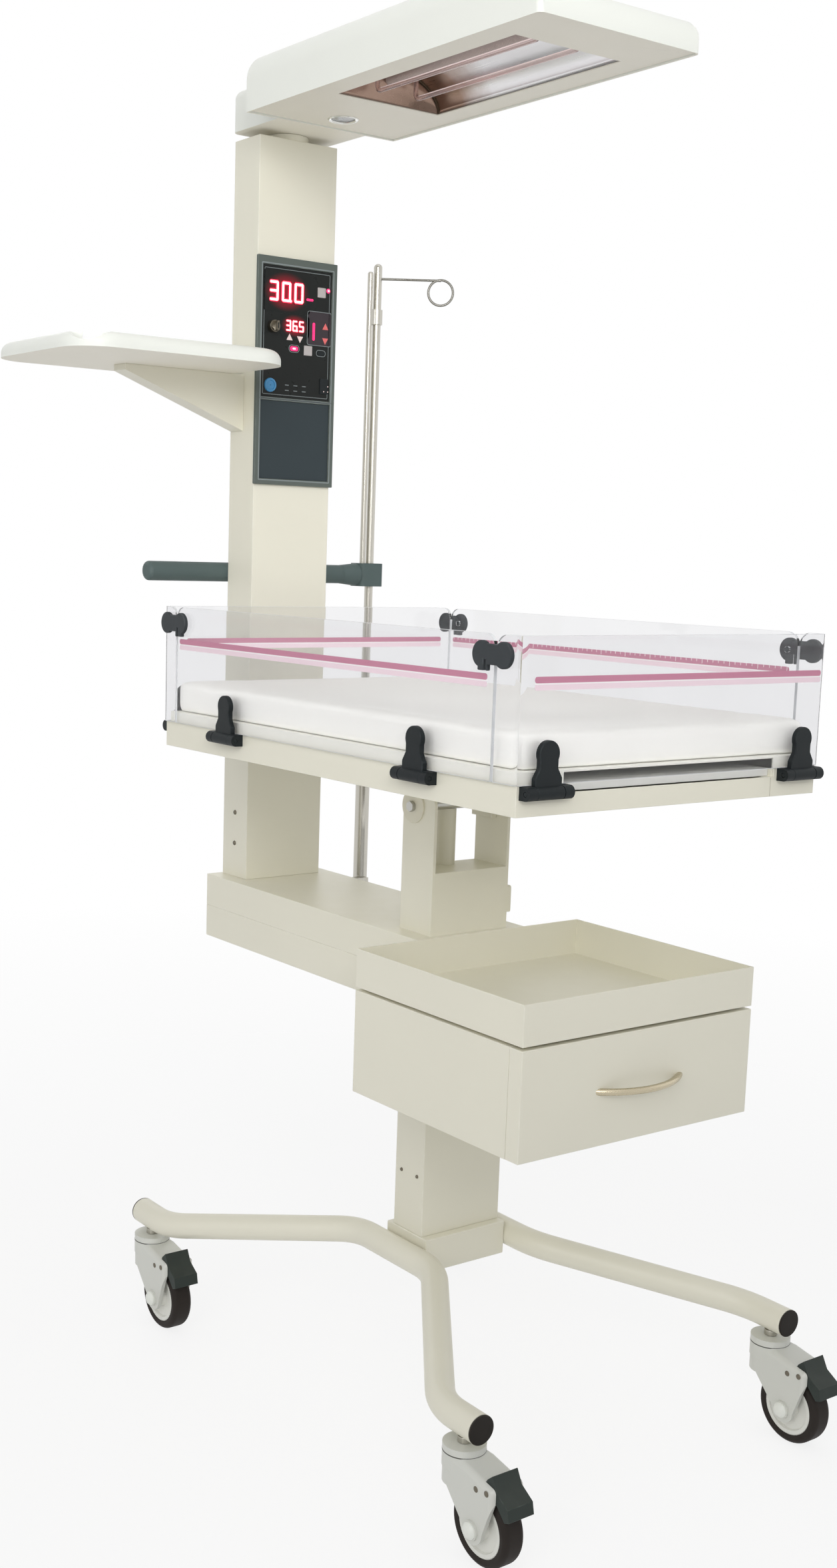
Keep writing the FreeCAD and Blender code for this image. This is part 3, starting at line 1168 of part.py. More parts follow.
def control_panel():
    """The bezel, the two-part fascia, the buttons and the key switch."""
    bezel = Piece("panel_bezel")
    lower_window = (f"{CONTROL_BOTTOM} + bezel_border", f"{DISPLAY_BOTTOM} - bezel_bar")
    windows = ((DISPLAY_BOTTOM, DISPLAY_TOP), lower_window)
    bezel.box(centred("bezel_half_width"), (BEZEL_FRONT, COLUMN_FRONT), (CONTROL_BOTTOM, CONTROL_TOP))
    for window in windows:
        bezel.box(centred(WINDOW_HALF_WIDTH), (BEZEL_FRONT, COLUMN_FRONT), window, cut=True)
    bezel.publish()

    buttons = {
        "mute_button": (f"{WINDOW_HALF_WIDTH} - mute_inset", f"{CONTROL_TOP} - mute_drop"),
        "mode_button": ("mode_x", f"{CONTROL_TOP} - mode_drop"),
    }
    key = (f"key_inset - {WINDOW_HALF_WIDTH}", f"{CONTROL_TOP} - key_drop")
    plates = []
    for window in windows:
        plate = Piece("fascia_plate")
        height = (f"{window[0]} + weld_gap", f"{window[1]} - weld_gap")
        plate.box(centred(f"{WINDOW_HALF_WIDTH} - weld_gap"), (FASCIA_FRONT, COLUMN_FRONT), height)
        plates.append(plate)
    for x, z in buttons.values():
        hole = "button_half + weld_gap"
        plates[0].box(about(x, hole), (FASCIA_FRONT, COLUMN_FRONT), about(z, hole), cut=True)
    plates[0].rod("y", key, "key_shaft_radius + running_fit", (FASCIA_FRONT, COLUMN_FRONT), cut=True)
    group("panel_fascia", plates)

    for name, (x, z) in buttons.items():
        button = Piece(name)
        depth = (f"{FASCIA_FRONT} - button_proud", f"{COLUMN_FRONT} - button_travel - rest_gap")
        button.box(about(x, "button_half"), depth, about(z, "button_half"))
        button.publish()
    switch = Piece("key_switch")
    face = f"({FASCIA_FRONT} - rest_gap)"
    knob = f"({face} - key_depth)"
    switch.rod("y", key, "key_radius", (knob, face))
    switch.rod("y", key, "key_shaft_radius", (face, f"{COLUMN_FRONT} - rest_gap"))
    bow = about(key[0], "key_shaft_radius / 2")
    switch.box(bow, (f"{knob} - key_radius", knob), about(key[1], "key_radius * 0.8"))
    switch.publish()


def head_solid(name, inset):
    """The overhead housing's outer form, shrunk on every closed side by an inset.

    It is what the form seen from the side and the arch seen from the front have in common.
    """
    front = f"({HEAD_FRONT} + {inset})"
    rear = f"({HEAD_REAR} - {inset})"
    top = f"({HEAD_TOP} - {inset})"
    brow = f"({HEAD_BOTTOM} + head_brow_height)"
    half_width = f"(head_half_width - {inset})"
    side_view = Piece(f"{name}_side_view")
    side_view.profile("x", [
        (front, HEAD_BOTTOM),
        (rear, HEAD_BOTTOM),
        (rear, top),
        (f"{front} + head_brow_length", top),
        (front, brow),
    ], centred(half_width))
    side_view.fillet(f"head_brow_round - {inset}", both(parallel("x"), lies_at("z", brow)))
    arch = Piece(f"{name}_arch")
    arch.box(centred(half_width), (front, rear), (HEAD_BOTTOM, top))
    arch.fillet(f"head_side_round - {inset}", both(parallel("y"), lies_at("z", top)))
    arch.fillet(f"head_corner_round - {inset}", both(parallel("z"), lies_at("y", front)))
    solid = DOC.addObject("Part::Common", name)
    solid.Base = side_view.body
    solid.Tool = arch.body
    return solid


def overhead_heater():
    """The housing on its hub, the underside plate, the reflector, the element, the guard and the lamp."""
    hollow = DOC.addObject("Part::Cut", "head_hollow")
    hollow.Base = head_solid("head_outside", "0")
    hollow.Tool = head_solid("head_inside", "head_wall")
    hub = Piece("head_hub")
    hub_top = f"{HUB_BOTTOM} + hub_height"
    hub.box(centred("hub_half_width"), (f"{HEAD_REAR} - head_wall", HUB_REAR), (HUB_BOTTOM, hub_top))
    hub.fillet("hub_round", both(parallel("x"), lies_at("y", HUB_REAR), lies_at("z", hub_top)))
    hub.fillet("hub_round", both(parallel("z"), lies_at("y", HUB_REAR)))
    bore_top = f"{COLUMN_TOP} + spigot_height + rest_gap"
    hub.rod("z", ("0", COLUMN_AXIS), "spigot_radius + running_fit", (HUB_BOTTOM, bore_top), cut=True)
    shell = DOC.addObject("Part::MultiFuse", "head_shell_solid")
    shell.Shapes = [hollow, hub.body]
    publish(shell, "head_shell")

    side_gap = "head_half_width - head_wall - weld_gap"
    plate_depth = (f"{HEAD_FRONT} + head_wall + weld_gap", f"{HEAD_REAR} - head_wall - weld_gap")
    level = (UNDERPLATE, UNDERPLATE_TOP)
    lamp = ("0", f"{HEAD_REAR} - lamp_rear_margin")
    blank = Piece("head_underplate_blank")
    blank.box(centred(side_gap), plate_depth, level)
    blank.box(centred("opening_half_width"), (OPENING_FRONT, OPENING_REAR), level, cut=True)
    blank.rod("z", lamp, "lamp_radius + weld_gap", level, cut=True)
    plate = DOC.addObject("Part::Common", "head_underplate_solid")
    plate.Base = blank.body
    plate.Tool = head_solid("head_lining", "(head_wall + weld_gap)")
    publish(plate, "head_underplate")

    reflector = Piece("reflector")
    roof = f"({UNDERPLATE_TOP} + reflector_depth)"
    flange_width = centred("opening_half_width + reflector_flange")
    flange_depth = (f"{OPENING_FRONT} - reflector_flange", f"{OPENING_REAR} + reflector_flange")
    reflector.profile("y", [
        ("-opening_half_width - reflector_sheet", UNDERPLATE_TOP),
        ("opening_half_width + reflector_sheet", UNDERPLATE_TOP),
        ("opening_half_width + reflector_sheet - reflector_slope", roof),
        ("-opening_half_width - reflector_sheet + reflector_slope", roof),
    ], (f"{OPENING_FRONT} - reflector_sheet", f"{OPENING_REAR} + reflector_sheet"))
    reflector.box(flange_width, flange_depth, (UNDERPLATE_TOP, f"{UNDERPLATE_TOP} + reflector_sheet"))
    reflector.profile("y", [
        ("-opening_half_width", UNDERPLATE_TOP),
        ("opening_half_width", UNDERPLATE_TOP),
        ("opening_half_width - reflector_slope", f"{roof} - reflector_sheet"),
        ("-opening_half_width + reflector_slope", f"{roof} - reflector_sheet"),
    ], (OPENING_FRONT, OPENING_REAR), cut=True)
    reflector.publish()

    element = Piece("heater_element")
    element.rod("y", ("0", f"{roof} - element_drop"), "element_radius", (OPENING_FRONT, OPENING_REAR))
    element.publish()

    bars = []
    low = f"({UNDERPLATE_TOP} + guard_rise)"
    high = f"({roof} - reflector_sheet - rest_gap)"
    for side in (-1, 1):
        x = f"{side} * guard_half_spacing"
        corners = [
            point(x, f"{OPENING_FRONT} + guard_inset", high),
            point(x, f"{OPENING_FRONT} + guard_inset", low),
            point(x, f"{OPENING_REAR} - guard_inset", low),
            point(x, f"{OPENING_REAR} - guard_inset", high),
        ]
        bars.append(round_bar(bent_path(corners, value("guard_bend_radius")), value("guard_radius")))
    coded("guard_rods", Part.makeCompound(bars))

    lamp_piece = Piece("exam_lamp")
    lens = f"({UNDERPLATE} - sheet)"
    lamp_piece.rod("z", lamp, "lamp_radius", (lens, f"{lens} + lamp_height"))
    lamp_piece.rod("z", lamp, "lamp_radius + lamp_flange", (lens, UNDERPLATE))
    lamp_piece.publish()


def build():
    """Build every sub-part in the document."""
    fill_sheet()
    base_and_columns()
    leg_tubes()
    leg_end_caps()
    caster_stems()
    for end_name, end in (("front", -1), ("rear", 1)):
        for side_name, side in (("left", -1), ("right", 1)):
            caster(f"{end_name}_{side_name}", side, end)
    tilt_bracket()
    fasteners()
    bassinet()
    panels_and_hinges()
    drawer_unit()
    push_handle()
    infusion_pole()
    side_shelf()
    control_panel()
    overhead_heater()
    DOC.recompute()


def check():
    """Stop if any object failed or any sub-part has no sound shape."""
    for item in DOC.Objects:
        if {"Invalid", "Error"} & set(item.State):
            raise RuntimeError(f"{item.Name} failed: {item.State}")
    for item in NODES:
        if item.Shape.isNull() or not item.Shape.isValid() or not item.Shape.Solids:
            raise RuntimeError(f"{item.Label} has no sound shape")


def write():
    """Write each sub-part to its own file."""
    os.makedirs("parts", exist_ok=True)
    for item in NODES:
        item.Shape.exportStep(f"parts/{item.Label}.step")
        print(f"{item.Label}: {len(item.Shape.Solids)} solids, {item.Shape.Volume:.0f} mm3")


build()
check()
write()
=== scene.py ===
"""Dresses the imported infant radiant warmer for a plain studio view.

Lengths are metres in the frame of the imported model: +X is to the right for someone
facing the front, the front faces -Y, +Z is up and the floor is at zero.
"""

from __future__ import annotations

import json
import logging
import math
from dataclasses import dataclass
from enum import Enum
from typing import Callable, Iterable, Sequence

import bmesh
import bpy
from mathutils import Matrix, Vector

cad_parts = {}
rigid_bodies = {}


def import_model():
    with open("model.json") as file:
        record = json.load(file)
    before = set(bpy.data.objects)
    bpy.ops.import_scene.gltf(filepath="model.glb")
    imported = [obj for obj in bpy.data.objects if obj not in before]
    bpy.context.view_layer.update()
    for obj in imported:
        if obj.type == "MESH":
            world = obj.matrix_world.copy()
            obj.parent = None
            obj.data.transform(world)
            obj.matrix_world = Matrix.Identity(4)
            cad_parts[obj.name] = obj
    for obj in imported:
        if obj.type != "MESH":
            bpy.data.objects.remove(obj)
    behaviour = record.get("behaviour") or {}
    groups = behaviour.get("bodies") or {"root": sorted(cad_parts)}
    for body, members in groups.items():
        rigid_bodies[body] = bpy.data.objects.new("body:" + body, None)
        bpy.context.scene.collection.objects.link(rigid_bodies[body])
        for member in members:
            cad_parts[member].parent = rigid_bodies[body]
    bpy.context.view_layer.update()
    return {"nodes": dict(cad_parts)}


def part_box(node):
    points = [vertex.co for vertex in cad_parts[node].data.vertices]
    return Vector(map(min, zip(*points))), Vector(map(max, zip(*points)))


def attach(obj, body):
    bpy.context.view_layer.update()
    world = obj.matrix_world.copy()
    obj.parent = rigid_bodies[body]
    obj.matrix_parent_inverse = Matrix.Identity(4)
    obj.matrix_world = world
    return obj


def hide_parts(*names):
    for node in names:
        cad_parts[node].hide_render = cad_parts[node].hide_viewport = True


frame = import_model()

LOG = logging.getLogger("infant_warmer")
MM = 0.001
EDGE_LAYER = "edge_wear"
FOOT_HEIGHT = 2 * MM
DOWNWARD = 0.8

Colour = tuple[float, float, float]
Point = tuple[float, float, float]
Pair = tuple[float, float]
Face = bmesh.types.BMFace
Inputs = bpy.types.NodeInputs
Outputs = bpy.types.NodeOutputs
Socket = bpy.types.NodeSocket
Tree = bpy.types.NodeTree


class Facing(Enum):
    """The way a detail looks out of the model: its across and its up direction."""

    FRONT = ((1.0, 0.0, 0.0), (0.0, 0.0, 1.0))
    REAR = ((-1.0, 0.0, 0.0), (0.0, 0.0, 1.0))
    LEFT = ((0.0, -1.0, 0.0), (0.0, 0.0, 1.0))
    RIGHT = ((0.0, 1.0, 0.0), (0.0, 0.0, 1.0))
    UP = ((1.0, 0.0, 0.0), (0.0, 1.0, 0.0))
    DOWN = ((1.0, 0.0, 0.0), (0.0, -1.0, 0.0))

    def at(self, spot: Sequence[float]) -> Matrix:
        """The place at a spot of the frame, with z looking outwards."""
        across, up = (Vector(direction) for direction in self.value)
        turn = Matrix((across, up, across.cross(up))).transposed().to_4x4()
        return Matrix.Translation(spot) @ turn


class Side(Enum):
    """The left or the right side, seen from the front."""

    LEFT = -1
    RIGHT = 1


class End(Enum):
    """The front or the rear end."""

    FRONT = -1
    REAR = 1


def srgb(red: int, green: int, blue: int) -> Colour:
    """Turn a screen colour into the linear one that shaders take.

    Args:
        red: Red from 0 to 255.
        green: Green from 0 to 255.
        blue: Blue from 0 to 255.

    Returns:
        The linear colour.
    """
    def linear(level: int) -> float:
        """One channel, linear."""
        share = level / 255
        return share / 12.92 if share <= 0.04045 else ((share + 0.055) / 1.055) ** 2.4

    return linear(red), linear(green), linear(blue)


def opaque(colour: Colour) -> tuple[float, float, float, float]:
    """The colour with full alpha, as sockets take it."""
    return (*colour, 1.0)


BLACK = opaque((0.0, 0.0, 0.0))
WHITE = opaque((1.0, 1.0, 1.0))


# Shader tools

class Graph:
    """Short ways to add and join the nodes of one shader tree."""

    def __init__(self, tree: Tree) -> None:
        """Keep the tree that the nodes go into."""
        self.tree = tree

    def add(self, kind: str, inputs: dict | None = None, **settings: object) -> bpy.types.Node:
        """Add one node.

        Args:
            kind: Blender's name of the node, without its ShaderNode prefix.
            inputs: Values or sockets for its inputs, by name or number.
            settings: Values of the node's own attributes.

        Returns:
            The new node.
        """
        node = self.tree.nodes.new("ShaderNode" + kind)
        for name, value in settings.items():
            setattr(node, name, value)
        for key, value in (inputs or {}).items():
            self.feed(node.inputs[key], value)
        return node

    def feed(self, socket: Socket, value: object) -> None:
        """Set a socket to a value, or join it to another socket.

        Args:
            socket: The input.
            value: A plain value or another node's output.
        """
        if isinstance(value, Socket):
            self.tree.links.new(value, socket)
        else:
            socket.default_value = value

    def effect(self, tree: Tree, inputs: dict | None = None) -> Outputs:
        """Place a shared effect.

        Args:
            tree: The effect's node group.
            inputs: Values or sockets for its inputs.

        Returns:
            The outputs of the placed group.
        """
        return self.add("Group", inputs, node_tree=tree).outputs

    def mix(self, factor: object, first: object, second: object) -> Socket:
        """Mix two colours by a factor.

        Args:
            factor: Share of the second colour.
            first: Colour or socket at factor 0.
            second: Colour or socket at factor 1.

        Returns:
            The socket of the mixed colour.
        """
        node = self.add("Mix", {0: factor, 6: first, 7: second}, data_type="RGBA")
        return node.outputs[2]

    def math(self, operation: str, first: object, second: object = 0.0) -> Socket:
        """One arithmetic step on two values or sockets."""
        return self.add("Math", {0: first, 1: second}, operation=operation).outputs[0]

    def ranged(self, value: object, low: float, high: float) -> Socket:
        """Spread a value from 0 to 1 over a new range."""
        return self.add("MapRange", {"Value": value, "To Min": low, "To Max": high}).outputs[0]

    def share(self, value: object, start: float, end: float, **settings: object) -> Socket:
        """How far a value has come from a start to an end, from 0 to 1."""
        inputs = {"Value": value, "From Min": start, "From Max": end}
        return self.add("MapRange", inputs, **settings).outputs[0]

    def place(self) -> Socket:
        """The piece's own coordinates."""
        return self.add("TexCoord").outputs["Object"]

    def noise(self, scale: object, detail: float) -> Socket:
        """Noise on the piece's own coordinates."""
        inputs = {"Vector": self.place(), "Scale": scale, "Detail": detail}
        return self.add("TexNoise", inputs).outputs[0]

    def drift(self, colour: Colour, scale: float, amount: float) -> Socket:
        """A colour that turns a little lighter and darker over the surface."""
        inputs = {"Color": opaque(colour), "Scale": scale, "Amount": amount}
        return self.effect(Effects.drift(), inputs)["Color"]

    def bump(self, height: object, strength: float, distance: float) -> Socket:
        """A normal that a height bends."""
        inputs = {"Height": height, "Strength": strength, "Distance": distance}
        return self.add("Bump", inputs).outputs[0]

    def blend(self, factor: object, first: bpy.types.Node, second: bpy.types.Node) -> bpy.types.Node:
        """Mix two shaders by the share of the second."""
        return self.add("MixShader", {0: factor, 1: first.outputs[0], 2: second.outputs[0]})

    def seen(self) -> Socket:
        """1 for what the camera, a gloss or a clear piece shows, and 0 for what only lights.

        Returns:
            The socket of that switch.
        """
        path = self.add("LightPath").outputs
        direct = self.math("MAXIMUM", path["Is Camera Ray"], path["Is Glossy Ray"])
        return self.math("MAXIMUM", direct, path["Is Transmission Ray"])

    def surface(self, inputs: dict) -> None:
        """End the tree in one Principled shader with these inputs."""
        self.finish(self.add("BsdfPrincipled", inputs))

    def finish(self, shader: bpy.types.Node) -> None:
        """End the tree in a shader."""
        self.add("OutputMaterial", {"Surface": shader.outputs[0]})


def new_effect(
    name: str,
    inputs: Sequence[tuple[str, str, object]],
    outputs: Sequence[tuple[str, str]],
    fill: Callable[[Graph, Outputs, Inputs], None],
) -> Tree:
    """Make a shared effect once.

    Args:
        name: The group's name.
        inputs: Name, socket type and default of each input.
        outputs: Name and socket type of each output.
        fill: Adds the nodes between the inputs and the outputs.

    Returns:
        The node group.
    """
    tree = bpy.data.node_groups.get(name)
    if tree is not None:
        return tree
    tree = bpy.data.node_groups.new(name, "ShaderNodeTree")
    for label, kind, default in inputs:
        tree.interface.new_socket(label, in_out="INPUT", socket_type=kind).default_value = default
    for label, kind in outputs:
        tree.interface.new_socket(label, in_out="OUTPUT", socket_type=kind)
    start = tree.nodes.new("NodeGroupInput")
    end = tree.nodes.new("NodeGroupOutput")
    fill(Graph(tree), start.outputs, end.inputs)
    return tree


FLOAT = "NodeSocketFloat"
COLOUR = "NodeSocketColor"
VECTOR = "NodeSocketVector"


class Effects:
    """The node groups that several finishes share."""

    @staticmethod
    def grain() -> Tree:
        """Fine relief and a slow tone, both from noise on the object's own coordinates."""
        def fill(graph: Graph, start: Outputs, end: Inputs) -> None:
            """Two noises, one fine and one twenty times coarser.

            Args:
                graph: The group's nodes.
                start: What the group is given.
                end: What it puts out.
            """
            graph.feed(end["Height"], graph.noise(start["Scale"], detail=3.0))
            slow_scale = graph.math("MULTIPLY", start["Scale"], 1 / 20)
            graph.feed(end["Tone"], graph.noise(slow_scale, detail=4.0))

        return new_effect(
            "surface grain", [("Scale", FLOAT, 900.0)], [("Height", FLOAT), ("Tone", FLOAT)], fill
        )

    @staticmethod
    def drift() -> Tree:
        """A colour that turns a little lighter and darker over the surface."""
        def fill(graph: Graph, start: Outputs, end: Inputs) -> None:
            """Noise drives the colour's value.

            Args:
                graph: The group's nodes.
                start: What the group is given.
                end: What it puts out.
            """
            swing = graph.math("SUBTRACT", graph.noise(start["Scale"], detail=5.0), 0.5)
            value = graph.math("MULTIPLY_ADD", swing, start["Amount"])
            value.node.inputs[2].default_value = 1.0
            shifted = graph.add("HueSaturation", {"Color": start["Color"], "Value": value})
            graph.feed(end["Color"], shifted.outputs[0])

        return new_effect(
            "colour drift",
            [("Color", COLOUR, (0.8, 0.8, 0.8, 1.0)), ("Scale", FLOAT, 6.0), ("Amount", FLOAT, 0.1)],
            [("Color", COLOUR)],
            fill,
        )

    @staticmethod
    def wear() -> Tree:
        """A mask of rubbed patches on the rounded edges of a piece."""
        def fill(graph: Graph, start: Outputs, end: Inputs) -> None:
            """The piece's own edge attribute, broken up by noise.

            Args:
                graph: The group's nodes.
                start: What the group is given.
                end: What it puts out.
            """
            edge = graph.add("Attribute", attribute_name=EDGE_LAYER).outputs[2]
            patch = graph.share(graph.noise(start["Scale"], detail=6.0), start=0.45, end=0.7)
            covered = graph.math("MULTIPLY", edge, patch)
            graph.feed(end["Mask"], graph.math("MULTIPLY", covered, start["Cover"]))

        return new_effect(
            "edge wear", [("Scale", FLOAT, 60.0), ("Cover", FLOAT, 0.5)], [("Mask", FLOAT)], fill
        )

    @staticmethod
    def dust() -> Tree:
        """A mask of settled dust on faces that look up."""
        def fill(graph: Graph, start: Outputs, end: Inputs) -> None:
            """The upward share of the normal, broken up by noise.

            Args:
                graph: The group's nodes.
                start: What the group is given.
                end: What it puts out.
            """
            normal = graph.add("TexCoord").outputs["Normal"]
            up = graph.add("SeparateXYZ", {0: normal}).outputs[2]
            noise = graph.noise(start["Scale"], detail=6.0)
            spots = graph.math("MULTIPLY", graph.share(up, start=0.3, end=1.0), noise)
            graph.feed(end["Mask"], graph.math("MULTIPLY", spots, start["Cover"]))

        return new_effect(
            "settled dust", [("Scale", FLOAT, 40.0), ("Cover", FLOAT, 0.3)], [("Mask", FLOAT)], fill
        )

    @staticmethod
    def brushed() -> Tree:
        """Fine lines along one direction, for drawn and brushed metal."""
        def fill(graph: Graph, start: Outputs, end: Inputs) -> None:
            """Noise on coordinates that are stretched along the lines.

            Args:
                graph: The group's nodes.
                start: What the group is given.
                end: What it puts out.
            """
            inputs = {0: graph.place(), 1: start["Stretch"]}
            stretched = graph.add("VectorMath", inputs, operation="MULTIPLY").outputs[0]
            lines = graph.add("TexNoise", {"Vector": stretched, "Scale": 1.0, "Detail": 4.0})
            graph.feed(end["Lines"], lines.outputs[0])

        return new_effect(
            "brushed lines", [("Stretch", VECTOR, (900.0, 900.0, 20.0))], [("Lines", FLOAT)], fill
        )

    @staticmethod
    def weave() -> Tree:
        """Crossing threads of a coated cloth, on the object's own coordinates."""
        def fill(graph: Graph, start: Outputs, end: Inputs) -> None:
            """Two wave patterns across each other.

            Args:
                graph: The group's nodes.
                start: What the group is given.
                end: What it puts out.
            """
            bands = {"Vector": graph.place(), "Scale": start["Scale"], "Distortion": 0.6, "Detail": 1.0}
            warp = graph.add("TexWave", bands, bands_direction="X")
            weft = graph.add("TexWave", bands, bands_direction="Y")
            graph.feed(end["Height"], graph.math("MAXIMUM", warp.outputs[1], weft.outputs[1]))

        return new_effect("woven threads", [("Scale", FLOAT, 300.0)], [("Height", FLOAT)], fill)


# Finishes

@dataclass(frozen=True)
class Finish:
    """A named finish whose material is made the first time it is asked for."""

    name: str

    def material(self) -> bpy.types.Material:
        """The finish's material.

        Returns:
            The one material that all pieces in this finish share.
        """
        made = bpy.data.materials.get(self.name)
        if made is None:
            made = bpy.data.materials.new(self.name)
            made.use_nodes = True
            made.node_tree.nodes.clear()
            self.shade(Graph(made.node_tree))
        return made

    def shade(self, graph: Graph) -> None:
        """Fill the material's node tree."""
        raise NotImplementedError


@dataclass(frozen=True)
class Coated(Finish):
    """Powder coat, lacquer, moulded plastic or rubber: a coloured skin with a fine grain."""

    colour: Colour
    worn: Colour
    roughness: float = 0.45
    grain_scale: float = 900.0
    grain_height: float = 0.12
    drift: float = 0.05
    wear: float = 0.35
    dust: float = 0.0
    specular: float = 0.5
    drift_scale: float = 7.0
    wear_scale: float = 55.0
    dust_scale: float = 35.0
    dust_colour: Colour = srgb(196, 192, 180)
    roughness_swing: float = 0.08
    relief: float = 0.3 * MM

    def shade(self, graph: Graph) -> None:
        """Drifting colour, rubbed edges, settled dust and a fine relief.

        Args:
            graph: The material's nodes.
        """
        wear = graph.effect(Effects.wear(), {"Scale": self.wear_scale, "Cover": self.wear})
        clean = graph.drift(self.colour, self.drift_scale, self.drift)
        colour = graph.mix(wear["Mask"], clean, opaque(self.worn))
        grain = graph.effect(Effects.grain(), {"Scale": self.grain_scale})
        low, high = self.roughness - self.roughness_swing, self.roughness + self.roughness_swing
        roughness = graph.ranged(grain["Tone"], low, high)
        if self.dust:
            dust = graph.effect(Effects.dust(), {"Scale": self.dust_scale, "Cover": self.dust})
            colour = graph.mix(dust["Mask"], colour, opaque(self.dust_colour))
            roughness = graph.math("MAXIMUM", roughness, dust["Mask"])
        graph.surface({
            "Base Color": colour,
            "Roughness": roughness,
            "Specular IOR Level": self.specular,
            "Normal": graph.bump(grain["Height"], self.grain_height, self.relief),
        })


@dataclass(frozen=True)
class Metal(Finish):
    """Bare or plated metal with lines along one direction."""

    colour: Colour
    roughness: float = 0.28
    stretch: Point = (900.0, 900.0, 25.0)
    line_height: float = 0.05
    drift_scale: float = 18.0
    drift: float = 0.12
    roughness_swing: float = 0.1
    relief: float = 0.1 * MM

    def shade(self, graph: Graph) -> None:
        """Lines in the roughness and the relief, and a slow drift of the tone.

        Args:
            graph: The material's nodes.
        """
        lines = graph.effect(Effects.brushed(), {"Stretch": self.stretch})["Lines"]
        low, high = self.roughness - self.roughness_swing, self.roughness + self.roughness_swing
        graph.surface({
            "Base Color": graph.drift(self.colour, self.drift_scale, self.drift),
            "Metallic": 1.0,
            "Roughness": graph.ranged(lines, low, high),
            "Normal": graph.bump(lines, self.line_height, self.relief),
        })


@dataclass(frozen=True)
class Clear(Finish):
    """Clear sheet or rod that lets the lamps through."""

    tint: Colour
    roughness: float
    index: float
    transmission: float
    smear_scale: float = 60.0
    smear: Pair = (0.4, 1.6)
    drift_scale: float = 9.0
    drift: float = 0.05

    def shade(self, graph: Graph) -> None:
        """Glass with wiped smears, and no hard shadow.

        Args:
            graph: The material's nodes.
        """
        smears = graph.effect(Effects.grain(), {"Scale": self.smear_scale})["Tone"]
        low, high = (self.roughness * share for share in self.smear)
        glass = graph.add("BsdfPrincipled", {
            "Base Color": graph.drift(self.tint, self.drift_scale, self.drift),
            "Roughness": graph.ranged(smears, low, high),
            "IOR": self.index,
            "Transmission Weight": self.transmission,
        })
        through = graph.add("BsdfTransparent", {"Color": opaque(self.tint)})
        shadow = graph.add("LightPath").outputs["Is Shadow Ray"]
        graph.finish(graph.blend(shadow, glass, through))


@dataclass(frozen=True)
class Glow(Finish):
    """A lit lamp, digit or lens."""

    colour: Colour
    core: Colour
    strength: float = 1.0
    speckle_scale: float = 420.0
    roughness: float = 0.35

    def shade(self, graph: Graph) -> None:
        """Emission that drifts between a core colour and the lamp's own.

        Args:
            graph: The material's nodes.
        """
        speckle = graph.noise(self.speckle_scale, detail=2.0)
        graph.surface({
            "Base Color": opaque(self.colour),
            "Roughness": self.roughness,
            "Emission Color": graph.mix(speckle, opaque(self.colour), opaque(self.core)),
            "Emission Strength": self.strength,
        })


@dataclass(frozen=True)
class PaintedGlow(Finish):
    """Painted red glow on the dark window round a lit readout, which fades out towards its edges."""

    colour: Colour
    ground: Colour
    centre: Point
    reach: Point
    full_within: float = 0.3
    roughness: float = 0.35
    specular: float = 0.1

    def shade(self, graph: Graph) -> None:
        """Painted glow: emission that falls off with the distance from the readout's middle.

        Args:
            graph: The material's nodes.
        """
        offset = graph.add("VectorMath", {0: graph.place(), 1: self.centre}, operation="SUBTRACT")
        scaled = graph.add("VectorMath", {0: offset.outputs[0], 1: self.reach}, operation="DIVIDE")
        distance = graph.add("VectorMath", {0: scaled.outputs[0]}, operation="LENGTH").outputs["Value"]
        fade = graph.share(distance, 1.0, self.full_within, interpolation_type="SMOOTHSTEP")
        graph.surface({
            "Base Color": opaque(self.ground),
            "Roughness": self.roughness,
            "Specular IOR Level": self.specular,
            "Emission Color": graph.mix(fade, BLACK, opaque(self.colour)),
            "Emission Strength": 1.0,
        })


@dataclass(frozen=True)
class PaintedReflectionSheet(Finish):
    """Polished sheet with a painted warm-brown reflection towards one end."""

    colour: Colour
    reflected_brown: Colour
    brown_end: float
    clean_end: float
    roughness: float = 0.3
    roughness_swing: float = 0.08
    cloud_scale: float = 26.0
    cloud_reach: float = 60 * MM
    stretch: Point = (700.0, 16.0, 700.0)
    line_height: float = 0.04
    relief: float = 0.1 * MM

    def shade(self, graph: Graph) -> None:
        """A painted warm reflection that drifts along the sheet, over fine rolling lines.

        Args:
            graph: The material's nodes.
        """
        # Painted reflection: a warm brown along the sheet stands in for the warm things the polished trough
        # reflects.
        along = graph.add("SeparateXYZ", {0: graph.place()}).outputs[1]
        cloud = graph.math("MULTIPLY", graph.noise(self.cloud_scale, detail=4.0), self.cloud_reach)
        tint = graph.share(graph.math("ADD", along, cloud), self.clean_end, self.brown_end)
        lines = graph.effect(Effects.brushed(), {"Stretch": self.stretch})["Lines"]
        low, high = self.roughness - self.roughness_swing, self.roughness + self.roughness_swing
        graph.surface({
            "Base Color": graph.mix(tint, opaque(self.colour), opaque(self.reflected_brown)),
            "Metallic": 1.0,
            "Roughness": graph.ranged(lines, low, high),
            "Normal": graph.bump(lines, self.line_height, self.relief),
        })


